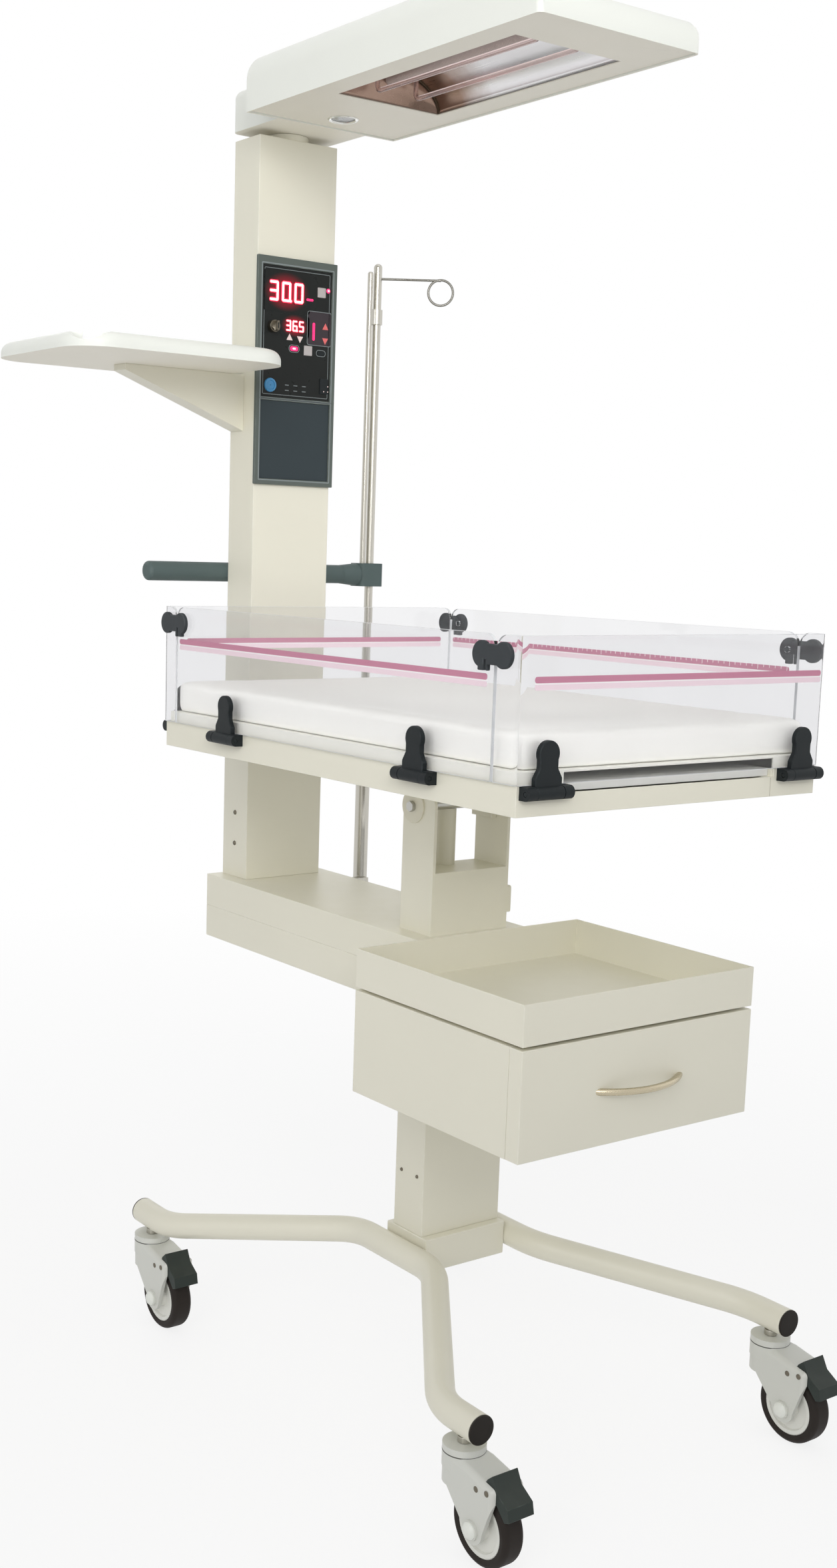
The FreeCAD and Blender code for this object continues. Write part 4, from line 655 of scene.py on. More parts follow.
@dataclass(frozen=True)
class Cloth(Finish):
    """The mattress's coated cloth."""

    colour: Colour
    thread_colour: Colour = srgb(226, 226, 218)
    thread_scale: float = 260.0
    thread_shade: float = 0.06
    grain_scale: float = 260.0
    drift_scale: float = 5.0
    drift: float = 0.05
    roughness: Pair = (0.55, 0.75)
    sheen: float = 0.15
    bump: float = 0.25
    relief: float = 0.3 * MM

    def shade(self, graph: Graph) -> None:
        """A fine weave under a soft coating.

        Args:
            graph: The material's nodes.
        """
        threads = graph.effect(Effects.weave(), {"Scale": self.thread_scale})["Height"]
        grain = graph.effect(Effects.grain(), {"Scale": self.grain_scale})
        clean = graph.drift(self.colour, self.drift_scale, self.drift)
        shade = graph.math("MULTIPLY", threads, self.thread_shade)
        height = graph.math("ADD", threads, grain["Height"])
        graph.surface({
            "Base Color": graph.mix(shade, clean, opaque(self.thread_colour)),
            "Roughness": graph.ranged(grain["Tone"], *self.roughness),
            "Sheen Weight": self.sheen,
            "Normal": graph.bump(height, self.bump, self.relief),
        })


CREAM = Coated(
    "cream_powder_coat", srgb(233, 230, 214), srgb(244, 242, 232), 0.42, 700.0, 0.16, 0.05, 0.5, 0.05
)
WHITE_SHELL = Coated(
    "white_lacquered_shell", srgb(238, 240, 233), srgb(248, 248, 244), 0.4, 800.0, 0.12, 0.04, 0.4, 0.04
)
# The warmer beige on faces that look down paints in the warm bounce light that falls under the head and the
# shelf.
UNDERSIDE_BOUNCE = Coated(
    "beige_underside_paint", srgb(241, 237, 224), srgb(246, 243, 234), 0.5, 700.0, 0.16, 0.05
)
WASHER_CREAM = Coated(
    "cream_painted_washer", srgb(226, 222, 204), srgb(240, 238, 228), 0.45, 700.0, 0.16, 0.06, 0.9
)
DECK_WHITE = Coated(
    "white_deck_laminate", srgb(240, 239, 230), srgb(248, 247, 242), 0.5, 900.0, 0.1, 0.04
)
TRAY_WHITE = Coated(
    "pale_cassette_tray", srgb(236, 236, 232), srgb(246, 246, 244), 0.34, 900.0, 0.08, 0.05
)
BLACK_PLASTIC = Coated(
    "black_moulded_plastic", srgb(27, 32, 34), srgb(52, 58, 60), 0.5, 1500.0, 0.25, 0.25, 0.6, 0.0, 0.2
)
BAR_GREY = Coated(
    "bar_grey_green_sleeve", srgb(86, 100, 99), srgb(112, 124, 122), 0.6, 1300.0, 0.3, 0.16, 0.5, 0.0, 0.25
)
LATCH_RUBBER = Coated(
    "latch_dark_rubber", srgb(54, 58, 61), srgb(84, 88, 90), 0.6, 1300.0, 0.3, 0.25, 0.6, 0.0, 0.25
)
CAP_BLACK = Coated(
    "cap_brown_black", srgb(33, 29, 25), srgb(58, 52, 46), 0.6, 1300.0, 0.35, 0.35, 0.8, 0.06, 0.2
)
TYRE_RUBBER = Coated(
    "black_tyre_rubber", srgb(38, 32, 28), srgb(64, 58, 52), 0.66, 1100.0, 0.35, 0.35, 0.8, 0.08, 0.25
)
CASTER_GREY = Coated(
    "caster_grey_enamel", srgb(216, 217, 210), srgb(234, 234, 230), 0.4, 900.0, 0.14, 0.05, 0.5, 0.06
)
HUB_WHITE = Coated(
    "wheel_hub_white", srgb(234, 234, 227), srgb(242, 242, 237), 0.45, 1000.0, 0.14, 0.06, 0.4, 0.1
)
PEDAL_GREY = Coated(
    "pedal_green_grey", srgb(42, 50, 46), srgb(78, 87, 82), 0.55, 1300.0, 0.3, 0.25, 0.8, 0.06, 0.3
)
# A dark ring painted where the groove under the swivel disc lies in shade.
GROOVE_SHADE = Coated(
    "dark_groove_seal", srgb(74, 74, 68), srgb(96, 96, 90), 0.7, 1200.0, 0.2, 0.2
)
CUT_EDGE = Coated(
    "acrylic_cut_edge", srgb(227, 229, 231), srgb(237, 238, 239), 0.5, 900.0, 0.1, 0.05
)
SEAM_SHADE = Coated(
    "cream_seam_shade", srgb(178, 172, 152), srgb(192, 186, 168), 0.6, 900.0, 0.1, 0.1
)
PANEL_SLATE = Coated(
    "slate_panel_foil", srgb(52, 61, 65), srgb(80, 90, 94), 0.4, 1500.0, 0.08, 0.16, 0.35, 0.0, 0.2
)
WINDOW_BLACK = Coated(
    "dark_display_window", srgb(36, 38, 37), srgb(52, 54, 54), 0.3, 1800.0, 0.03, 0.25, 0.35, 0.0, 0.12
)
SUB_PANEL = Coated(
    "dark_sub_panel", srgb(62, 56, 60), srgb(80, 74, 78), 0.4, 1600.0, 0.05, 0.12, 0.35, 0.0, 0.15
)
BEZEL_GREY = Coated(
    "bezel_grey_plastic", srgb(90, 98, 93), srgb(122, 130, 126), 0.5, 1200.0, 0.2, 0.08, 0.5, 0.0, 0.3
)
KEY_WHITE = Coated("key_cap_white", srgb(182, 176, 174), srgb(204, 198, 196), 0.45, 1400.0, 0.12, 0.05)
PRINT_GREY = Coated("panel_print_grey", srgb(128, 136, 137), srgb(150, 156, 158), 0.6, 1500.0, 0.1, 0.1)
PRINT_WHITE = Coated("panel_print_white", srgb(240, 218, 214), srgb(244, 230, 228), 0.5, 1500.0, 0.1, 0.05)
PRINT_SALMON = Coated("panel_print_salmon", srgb(226, 108, 108), srgb(232, 140, 138), 0.5, 1500.0, 0.1, 0.1)
SOCKET_BLUE = Coated("socket_blue", srgb(64, 132, 178), srgb(96, 160, 196), 0.35, 1500.0, 0.1, 0.14)
STRIP_PINK = Coated("strip_dark_pink", srgb(196, 130, 154), srgb(204, 146, 168), 0.5, 900.0, 0.1, 0.12)
STRIP_PALE = Coated("strip_pale_pink", srgb(240, 218, 227), srgb(243, 226, 233), 0.5, 900.0, 0.1, 0.06)
STRIP_LINE = Coated("strip_white_line", srgb(246, 240, 242), srgb(250, 246, 248), 0.5, 900.0, 0.1, 0.03)
STEEL = Metal("satin_steel", srgb(190, 187, 178), 0.3, (900.0, 900.0, 22.0))
NICKEL = Metal("satin_nickel", srgb(188, 178, 154), 0.27, (22.0, 900.0, 900.0))
ZINC = Metal("zinc_plated_steel", srgb(186, 185, 180), 0.36, (420.0, 420.0, 420.0), 0.1)
DARK_METAL = Metal("blackened_metal", srgb(112, 106, 94), 0.4, (500.0, 500.0, 500.0), 0.1)
HOOK_STEEL = Metal("dark_hook_wire", srgb(132, 130, 124), 0.36, (600.0, 600.0, 600.0))
CHROME = Metal("chrome_ring", srgb(220, 220, 216), 0.14, (500.0, 500.0, 60.0), 0.02)
# The brown end of the reflector is a painted reflection of warm surroundings.
MIRROR = PaintedReflectionSheet(
    "polished_reflector_sheet", srgb(230, 229, 231), srgb(156, 131, 117), 200 * MM, 125 * MM
)
DARK_ELEMENT = Coated("heater_rod_dark", srgb(198, 182, 176), srgb(212, 198, 192), 0.5, 900.0, 0.3, 0.3)
QUARTZ = Clear("rose_quartz_rod", srgb(247, 228, 225), 0.12, 1.4, 0.85)
ACRYLIC = Clear("clear_acrylic_sheet", srgb(243, 243, 244), 0.02, 1.3, 1.0)
LAMP_GLASS = Clear("ribbed_lamp_glass", srgb(236, 238, 240), 0.12, 1.5, 0.7)
RED_DIGIT = Glow("red_led_digit", srgb(228, 8, 52), srgb(255, 40, 84), 1.0)
RED_CORE = Glow("red_led_core", srgb(255, 196, 196), srgb(255, 244, 240), 1.0)
RED_LAMP = Glow("red_led_lamp", srgb(226, 12, 92), srgb(255, 70, 130), 1.0)
MATTRESS_CLOTH = Cloth("mattress_cloth", srgb(254, 253, 248))


# Mesh tools

def arc(
    centre: Pair, radius: float, start: float, end: float, steps: int = 6
) -> list[Pair]:
    """Points of a circular arc in a profile's plane.

    Args:
        centre: The circle's centre.
        radius: Its radius.
        start: Angle of the first point in degrees.
        end: Angle of the last point in degrees.
        steps: Steps between them.

    Returns:
        The points in order.
    """
    angles = [math.radians(start + (end - start) * step / steps) for step in range(steps + 1)]
    return [(centre[0] + radius * math.cos(a), centre[1] + radius * math.sin(a)) for a in angles]


class Form:
    """A mesh in the making, in the model's frame."""

    FLAT = math.radians(0.4)
    SHARP = math.radians(28)
    SMOOTH = math.radians(38)
    WELD = 1e-6
    CORNER_STEPS = 5
    DOME = ((0.0, 1.0), (0.45, 0.94), (0.78, 0.7), (1.0, 0.25), (1.0, 0.0), (0.0, 0.0))
    DOME_STEPS = 24
    TROUGH_STEPS = 64

    def __init__(self) -> None:
        """Start with an empty mesh."""
        self.bm = bmesh.new()
        self.edge_layer = self.bm.faces.layers.float.new(EDGE_LAYER)

    @classmethod
    def of_node(cls, node: str) -> Form:
        """A merged copy of a CAD node's mesh, with flat faces joined up.

        Args:
            node: The CAD node's name.

        Returns:
            The new form.
        """
        form = cls()
        form.bm.from_mesh(frame["nodes"][node].data)
        form.edge_layer = form.bm.faces.layers.float.get(EDGE_LAYER)
        if form.edge_layer is None:
            form.edge_layer = form.bm.faces.layers.float.new(EDGE_LAYER)
        bmesh.ops.remove_doubles(form.bm, verts=form.bm.verts, dist=cls.WELD)
        bmesh.ops.dissolve_limit(
            form.bm, angle_limit=cls.FLAT, verts=form.bm.verts, edges=form.bm.edges
        )
        return form

    def keep(self, wanted: Callable[[Vector], bool]) -> Form:
        """Drop every vertex that fails a test, with its faces.

        Args:
            wanted: The test that a vertex has to pass to stay.

        Returns:
            The form itself.
        """
        dropped = [vert for vert in self.bm.verts if not wanted(vert.co)]
        bmesh.ops.delete(self.bm, geom=dropped, context="VERTS")
        return self

    def only(self, wanted: Callable[[Face], bool]) -> Form:
        """Drop every face that fails a test.

        Args:
            wanted: The test that a face has to pass to stay.

        Returns:
            The form itself.
        """
        dropped = [face for face in self.bm.faces if not wanted(face)]
        bmesh.ops.delete(self.bm, geom=dropped, context="FACES")
        return self

    def islands(self) -> list[tuple[Vector, Vector]]:
        """Take the form apart, after which it is done with.

        Returns:
            The lowest and the highest corner of each separate part.
        """
        boxes = []
        waiting = set(self.bm.verts)
        while waiting:
            reached = [waiting.pop()]
            for vert in reached:
                fresh = {edge.other_vert(vert) for edge in vert.link_edges} & waiting
                waiting -= fresh
                reached.extend(fresh)
            corners = [vert.co for vert in reached]
            low, high = (Vector(map(pick, zip(*corners))) for pick in (min, max))
            boxes.append((low, high))
        self.bm.free()
        return sorted(boxes, key=lambda box: tuple(box[0]))

    def settle(self, before: set, place: Matrix) -> None:
        """Move what was just made into place and point its faces outwards.

        Args:
            before: The vertices that were there already.
            place: Where the new shape goes.
        """
        made = [vert for vert in self.bm.verts if vert not in before]
        bmesh.ops.transform(self.bm, matrix=place, verts=made)
        faces = {face for vert in made for face in vert.link_faces}
        bmesh.ops.recalc_face_normals(self.bm, faces=list(faces))

    def box(self, low: Point, high: Point) -> Form:
        """Add a box between two corners of the frame.

        Args:
            low: The lowest corner.
            high: The highest corner.

        Returns:
            The form itself.
        """
        size = [b - a for a, b in zip(low, high)]
        centre = [(a + b) / 2 for a, b in zip(low, high)]
        place = Matrix.Translation(centre) @ Matrix.Diagonal((*size, 1.0))
        bmesh.ops.create_cube(self.bm, size=1.0, matrix=place)
        return self

    def plate(
        self, place: Matrix, width: float, height: float, thickness: float, corner: float = 0.0,
        line: float = 0.0,
    ) -> Form:
        """Add a flat plate with rounded corners, or only a line round its rim.

        Args:
            place: The middle of its back, looking outwards.
            width: Its size across.
            height: Its size upwards.
            thickness: How far it stands out.
            corner: Radius of its corners.
            line: Width of the line, or 0 for a full plate.

        Returns:
            The form itself.
        """
        before = set(self.bm.verts)
        verts = bmesh.ops.create_grid(self.bm, x_segments=1, y_segments=1, size=0.5)["verts"]
        bmesh.ops.scale(self.bm, vec=(width, height, 1.0), verts=verts)
        face = verts[0].link_faces[0]
        if corner:
            verts = bmesh.ops.bevel(
                self.bm, geom=verts, offset=corner, offset_type="OFFSET",
                segments=self.CORNER_STEPS, profile=0.5,
                affect="VERTICES", clamp_overlap=True, material=-1,
            )["verts"]
            face = verts[0].link_faces[0]
        faces = [face]
        if line:
            faces = bmesh.ops.inset_region(
                self.bm, faces=[face], thickness=line, use_boundary=True, use_even_offset=True
            )["faces"]
            bmesh.ops.delete(self.bm, geom=[face], context="FACES_ONLY")
        raised = bmesh.ops.extrude_face_region(self.bm, geom=faces)["geom"]
        top = [item for item in raised if isinstance(item, bmesh.types.BMVert)]
        bmesh.ops.translate(self.bm, vec=(0, 0, thickness), verts=top)
        self.settle(before, place)
        return self

    def prism(
        self, place: Matrix, radius: float, sides: int, thickness: float, turn: float = 0.0
    ) -> Form:
        """Add a flat regular prism that stands out from a surface.

        Args:
            place: The middle of its back, looking outwards.
            radius: Distance from the middle to a corner.
            sides: Number of corners.
            thickness: How far it stands out.
            turn: Turn about its own middle in degrees.

        Returns:
            The form itself.
        """
        before = set(self.bm.verts)
        lift = Matrix.Translation((0, 0, thickness / 2)) @ Matrix.Rotation(math.radians(turn), 4, "Z")
        bmesh.ops.create_cone(
            self.bm, cap_ends=True, segments=sides, radius1=radius, radius2=radius, depth=thickness,
            matrix=lift,
        )
        self.settle(before, place)
        return self

    def lathe(
        self, place: Matrix, profile: Sequence[Pair], closed: bool = False,
        steps: int = 48,
    ) -> Form:
        """Spin a profile round the outward direction of a place.

        Args:
            place: The point that heights count from, looking along the axis.
            profile: Radius and height of each corner, from one end to the other.
            closed: Join the last corner to the first, for a ring.
            steps: Sides of the full circle.

        Returns:
            The form itself.
        """
        before = set(self.bm.verts)
        corners = [self.bm.verts.new((radius, 0, height)) for radius, height in profile]
        pairs = list(zip(corners, corners[1:]))
        if closed:
            pairs.append((corners[-1], corners[0]))
        lines = [self.bm.edges.new(pair) for pair in pairs]
        bmesh.ops.spin(
            self.bm, geom=[*corners, *lines], cent=(0, 0, 0), axis=(0, 0, 1),
            angle=math.tau, steps=steps, use_merge=True,
        )
        turned = [vert for vert in self.bm.verts if vert not in before]
        bmesh.ops.remove_doubles(self.bm, verts=turned, dist=self.WELD)
        self.settle(before, place)
        return self

    def dome(self, place: Matrix, radius: float, height: float) -> Form:
        """Add a low round cap on a surface.

        Args:
            place: The middle of its back, looking outwards.
            radius: Radius of its foot.
            height: How far it stands out.

        Returns:
            The form itself.
        """
        profile = [(out * radius, up * height) for out, up in self.DOME]
        return self.lathe(place, profile, steps=self.DOME_STEPS)

    def trough(self, place: Matrix, half_width: float, rise: float, length: float) -> Form:
        """Add half an elliptic pipe that is open below and closed at both ends.

        Args:
            place: The middle of its open side, with the pipe along the outward direction.
            half_width: Half the width of its open side.
            rise: How high its roof is over the open side.
            length: Its length.

        Returns:
            The form itself.
        """
        before = set(self.bm.verts)
        bmesh.ops.create_circle(self.bm, cap_ends=True, segments=self.TROUGH_STEPS, radius=1.0)
        bmesh.ops.bisect_plane(
            self.bm, geom=[*self.bm.verts, *self.bm.edges, *self.bm.faces], plane_co=(0, 0, 0),
            plane_no=(0, 1, 0), clear_inner=True,
        )
        raised = bmesh.ops.extrude_face_region(self.bm, geom=list(self.bm.faces))["geom"]
        far = [item for item in raised if isinstance(item, bmesh.types.BMVert)]
        bmesh.ops.translate(self.bm, vec=(0, 0, 1.0), verts=far)
        open_side = [face for face in self.bm.faces if max(v.co.y for v in face.verts) < self.WELD]
        bmesh.ops.delete(self.bm, geom=open_side, context="FACES_ONLY")
        size = Matrix.Diagonal((half_width, rise, length, 1.0)) @ Matrix.Translation((0, 0, -0.5))
        self.settle(before, place @ size)
        return self

    def soften(
        self, radius: float, segments: int = 2, wanted: Callable[[Vector], bool] | None = None
    ) -> Form:
        """Round the sharp outer edges and mark the new faces for edge wear.

        Args:
            radius: How far the rounding reaches from each edge.
            segments: Faces across each rounding.
            wanted: A test that both ends of an edge have to pass.

        Returns:
            The form itself.
        """
        edges = [
            edge for edge in self.bm.edges
            if len(edge.link_faces) == 2
            and edge.calc_face_angle(0.0) > self.SHARP
            and edge.is_convex
            and (wanted is None or all(wanted(vert.co) for vert in edge.verts))
        ]
        rounded = bmesh.ops.bevel(
            self.bm, geom=edges, offset=radius, offset_type="OFFSET", segments=segments,
            profile=0.5, affect="EDGES", clamp_overlap=True, material=-1, loop_slide=True,
        )
        for face in rounded["faces"]:
            face[self.edge_layer] = 1.0
        return self

    def piece(
        self, name: str, finish: Finish, body: str, replaces: Iterable[str] = (),
        slot: str | None = None,
    ) -> bpy.types.Object:
        """Make the form an object that rides on a body.

        Args:
            name: The piece's name.
            finish: What it is dressed in.
            body: The CAD body that it moves with.
            replaces: CAD nodes that it stands for.
            slot: The record's material slot, if one fits; not used.

        Returns:
            The finished object.
        """
        for face in self.bm.faces:
            face.smooth = True
        mesh = bpy.data.meshes.new(name)
        self.bm.to_mesh(mesh)
        self.bm.free()
        mesh.set_sharp_from_angle(angle=self.SMOOTH)
        mesh.materials.clear()
        mesh.materials.append(finish.material())
        made = bpy.data.objects.new(name, mesh)
        bpy.context.scene.collection.objects.link(made)
        weighted = made.modifiers.new("flat faces", "WEIGHTED_NORMAL")
        weighted.keep_sharp = True
        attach(made, body)
        if replaces:
            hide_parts(*replaces)
        LOG.info("%s on %s: %d faces", name, body, len(mesh.polygons))
        return made


def dress_node(
    node: str, finish: Finish, radius: float = 0.0, segments: int = 2,
    first: tuple[float, int, Callable[[Vector], bool]] | None = None,
) -> None:
    """Stand a softened copy in for a CAD node.

    Args:
        node: The CAD node's name.
        finish: What the copy is dressed in.
        radius: How far its edges are rounded, or 0 for none.
        segments: Faces across each rounding.
        first: Radius, faces and test of some edges that get their own rounding before the rest.
    """
    form = Form.of_node(node)
    if first:
        own_radius, own_segments, wanted = first
        form.soften(own_radius, own_segments, wanted=wanted)
    if radius:
        form.soften(radius, segments)
    form.piece(f"{node}_dressed", finish, body_of(node), [node], slot_of(node))


def dress_split(
    node: str, finish: Finish, other: Finish, radius: float, wanted: Callable[[Face], bool]
) -> None:
    """Stand two softened pieces in for a CAD node that has another finish on some of its faces.

    Args:
        node: The CAD node's name.
        finish: What most faces are dressed in.
        other: What the faces that pass the test are dressed in.
        radius: How far the edges are rounded.
        wanted: The test.
    """
    for name, dressed_in, passes in ((f"{node}_dressed", finish, False), (f"{node}_part", other, True)):
        form = Form.of_node(node).soften(radius, segments=3)
        form.only(lambda face: bool(wanted(face)) is passes)
        form.piece(name, dressed_in, body_of(node), [node], slot_of(node))


def looks_down(node: str) -> Callable[[Face], bool]:
    """A test for the faces in a CAD node's lowest plane."""
    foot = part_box(node)[0][2] + FOOT_HEIGHT
    return lambda face: face.normal.z < -DOWNWARD and face.calc_center_median().z < foot


def body_of(node: str) -> str:
    """The body that carries a CAD node."""
    return frame["nodes"][node].parent.name.removeprefix("body:")


def slot_of(node: str) -> str:
    """The record's material slot of a CAD node."""
    return frame["nodes"][node].data.materials[0].name.split(".")[0]


def middle_of(node: str) -> Vector:
    """The middle of a CAD node's box."""
    low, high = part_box(node)
    return (Vector(low) + Vector(high)) / 2


# Sub-assemblies

@dataclass
class Undercarriage:
    """The base box, the bent leg tubes and the four braked casters."""

    box_round: float = 1.6 * MM
    tube_round: float = 0.6 * MM
    cap_round: float = 2.0 * MM
    fork_round: float = 1.8 * MM
    pedal_round: float = 1.4 * MM
    wheel_steps: int = 72
    wheel_radius: float = 50 * MM
    tyre_half_width: float = 16 * MM
    tyre_shoulder: float = 8 * MM
    shoulder_turn: float = 80.0
    bead_inset: float = 1.5 * MM
    rim_radius: float = 38 * MM
    rim_width: float = 6 * MM
    rim_slope: float = 1.5 * MM
    rim_step: float = 0.6 * MM
    lip_width: float = 1.2 * MM
    lip_step: float = 0.2 * MM
    web_inset: float = 4 * MM
    hub_chamfer: float = 1 * MM
    boss_radius: float = 14.5 * MM
    boss_half_width: float = 18.5 * MM
    axle_radius: float = 5.2 * MM
    axle_cap_radius: float = 10.5 * MM
    fork_half_width: float = 26 * MM
    axle_cap_face: float = 29 * MM
    axle_cap_height: float = 6.4 * MM
    rivet_radius: float = 3.8 * MM
    rivet_height: float = 1.2 * MM
    rivets: tuple[Pair, ...] = ((-54 * MM, 104 * MM), (-73 * MM, 107 * MM))
    # The dark ring of painted groove shade under the swivel disc.
    seal_height: float = 124 * MM
    seal_half_width: float = 0.7 * MM
    seal_depth: float = 1 * MM
    seal_stand: float = 0.15 * MM
    disc_radius: float = 27 * MM

    def build(self) -> None:
        """Dress the base and build each caster."""
        dress_node("base_box", CREAM, self.box_round, segments=3)
        dress_node("left_leg_tube", CREAM, self.tube_round)
        dress_node("right_leg_tube", CREAM, self.tube_round)
        dress_node("leg_end_caps", CAP_BLACK, self.cap_round, segments=3)
        dress_node("caster_stems", STEEL, self.tube_round)
        for end in End:
            for side in Side:
                self.caster(f"{end.name}_{side.name}".lower())

    def caster(self, corner: str) -> None:
        """Dress one caster: fork, rivets, tyre, hub and brake pedal.

        Args:
            corner: The caster's name.
        """
        dress_node(f"{corner}_fork", CASTER_GREY, self.fork_round, segments=3)
        dress_node(f"{corner}_brake_pedal", PEDAL_GREY, self.pedal_round, segments=3)
        wheel = middle_of(f"{corner}_wheel")
        swivel = Vector((wheel.x, wheel.y + self.trail(corner), 0.0))
        self.wheel(corner, Facing.RIGHT.at(wheel))
        self.fork_details(corner, wheel, swivel)

    def trail(self, corner: str) -> float:
        """How far the wheel's axle trails the swivel."""
        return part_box(f"{corner}_fork")[1][1] - self.disc_radius - middle_of(f"{corner}_wheel").y

    def wheel(self, corner: str, place: Matrix) -> None:
        """A round-shouldered tyre on a moulded hub.

        Args:
            corner: The caster's name.
            place: The wheel's middle, looking along its axle.
        """
        shoulder = self.wheel_radius - self.tyre_shoulder
        flank = self.tyre_half_width - self.tyre_shoulder
        bead = self.tyre_half_width - self.bead_inset
        tread = [
            *arc((shoulder, -flank), self.tyre_shoulder, -self.shoulder_turn, 0),
            *arc((shoulder, flank), self.tyre_shoulder, 0, self.shoulder_turn),
        ]
        seat = [(self.rim_radius, bead), (self.rim_radius, -bead)]
        tyre = Form().lathe(place, [*tread, *seat], closed=True, steps=self.wheel_steps)
        tyre.piece(
            f"{corner}_tyre", TYRE_RUBBER, f"{corner}_roller", [f"{corner}_wheel"], "wheel_rubber"
        )
        web = bead - self.web_inset
        inner_rim = self.rim_radius - self.rim_width
        half = [
            (self.axle_radius, self.boss_half_width),
            (self.boss_radius - self.hub_chamfer, self.boss_half_width),
            (self.boss_radius, self.boss_half_width - self.hub_chamfer),
            (self.boss_radius + self.hub_chamfer, web),
            (inner_rim - self.rim_slope, web),
            (inner_rim, bead - self.rim_step),
            (self.rim_radius - self.lip_width, bead - self.lip_step),
            (self.rim_radius, bead - self.hub_chamfer),
        ]
        mirrored = [(radius, -height) for radius, height in reversed(half)]
        hub = Form().lathe(place, [*half, *mirrored], closed=True, steps=self.wheel_steps)
        hub.piece(f"{corner}_hub", HUB_WHITE, f"{corner}_roller", slot="caster_grey")

    def fork_details(self, corner: str, wheel: Vector, swivel: Vector) -> None:
        """Rivet heads, domed axle caps, and a dark ring of painted shade for the groove under the swivel
        disc.

        Args:
            corner: The caster's name.
            wheel: The wheel's middle.
            swivel: The swivel's axis at the floor.
        """
        rivets = Form()
        caps = Form()
        for side, facing in ((-1, Facing.LEFT), (1, Facing.RIGHT)):
            for along, height in self.rivets:
                spot = swivel + Vector((side * self.fork_half_width, along, height))
                rivets.dome(facing.at(spot), self.rivet_radius, self.rivet_height)
            cap = wheel + Vector((side * self.axle_cap_face, 0, 0))
            caps.dome(facing.at(cap), self.axle_cap_radius, self.axle_cap_height)
        rivets.piece(f"{corner}_rivets", DARK_METAL, f"{corner}_swivel")
        caps.piece(f"{corner}_axle_caps", WHITE_SHELL, f"{corner}_swivel", slot="caster_grey")
        # The dark ring paints the shade in the groove under the swivel disc.
        low, high = -self.seal_half_width, self.seal_half_width
        inner, outer = self.disc_radius - self.seal_depth, self.disc_radius + self.seal_stand
        ring = [(inner, low), (outer, low), (outer, high), (inner, high)]
        groove_shade = Form().lathe(Facing.UP.at(swivel + Vector((0, 0, self.seal_height))), ring, closed=True)
        groove_shade.piece(f"{corner}_swivel_seal", GROOVE_SHADE, f"{corner}_swivel")


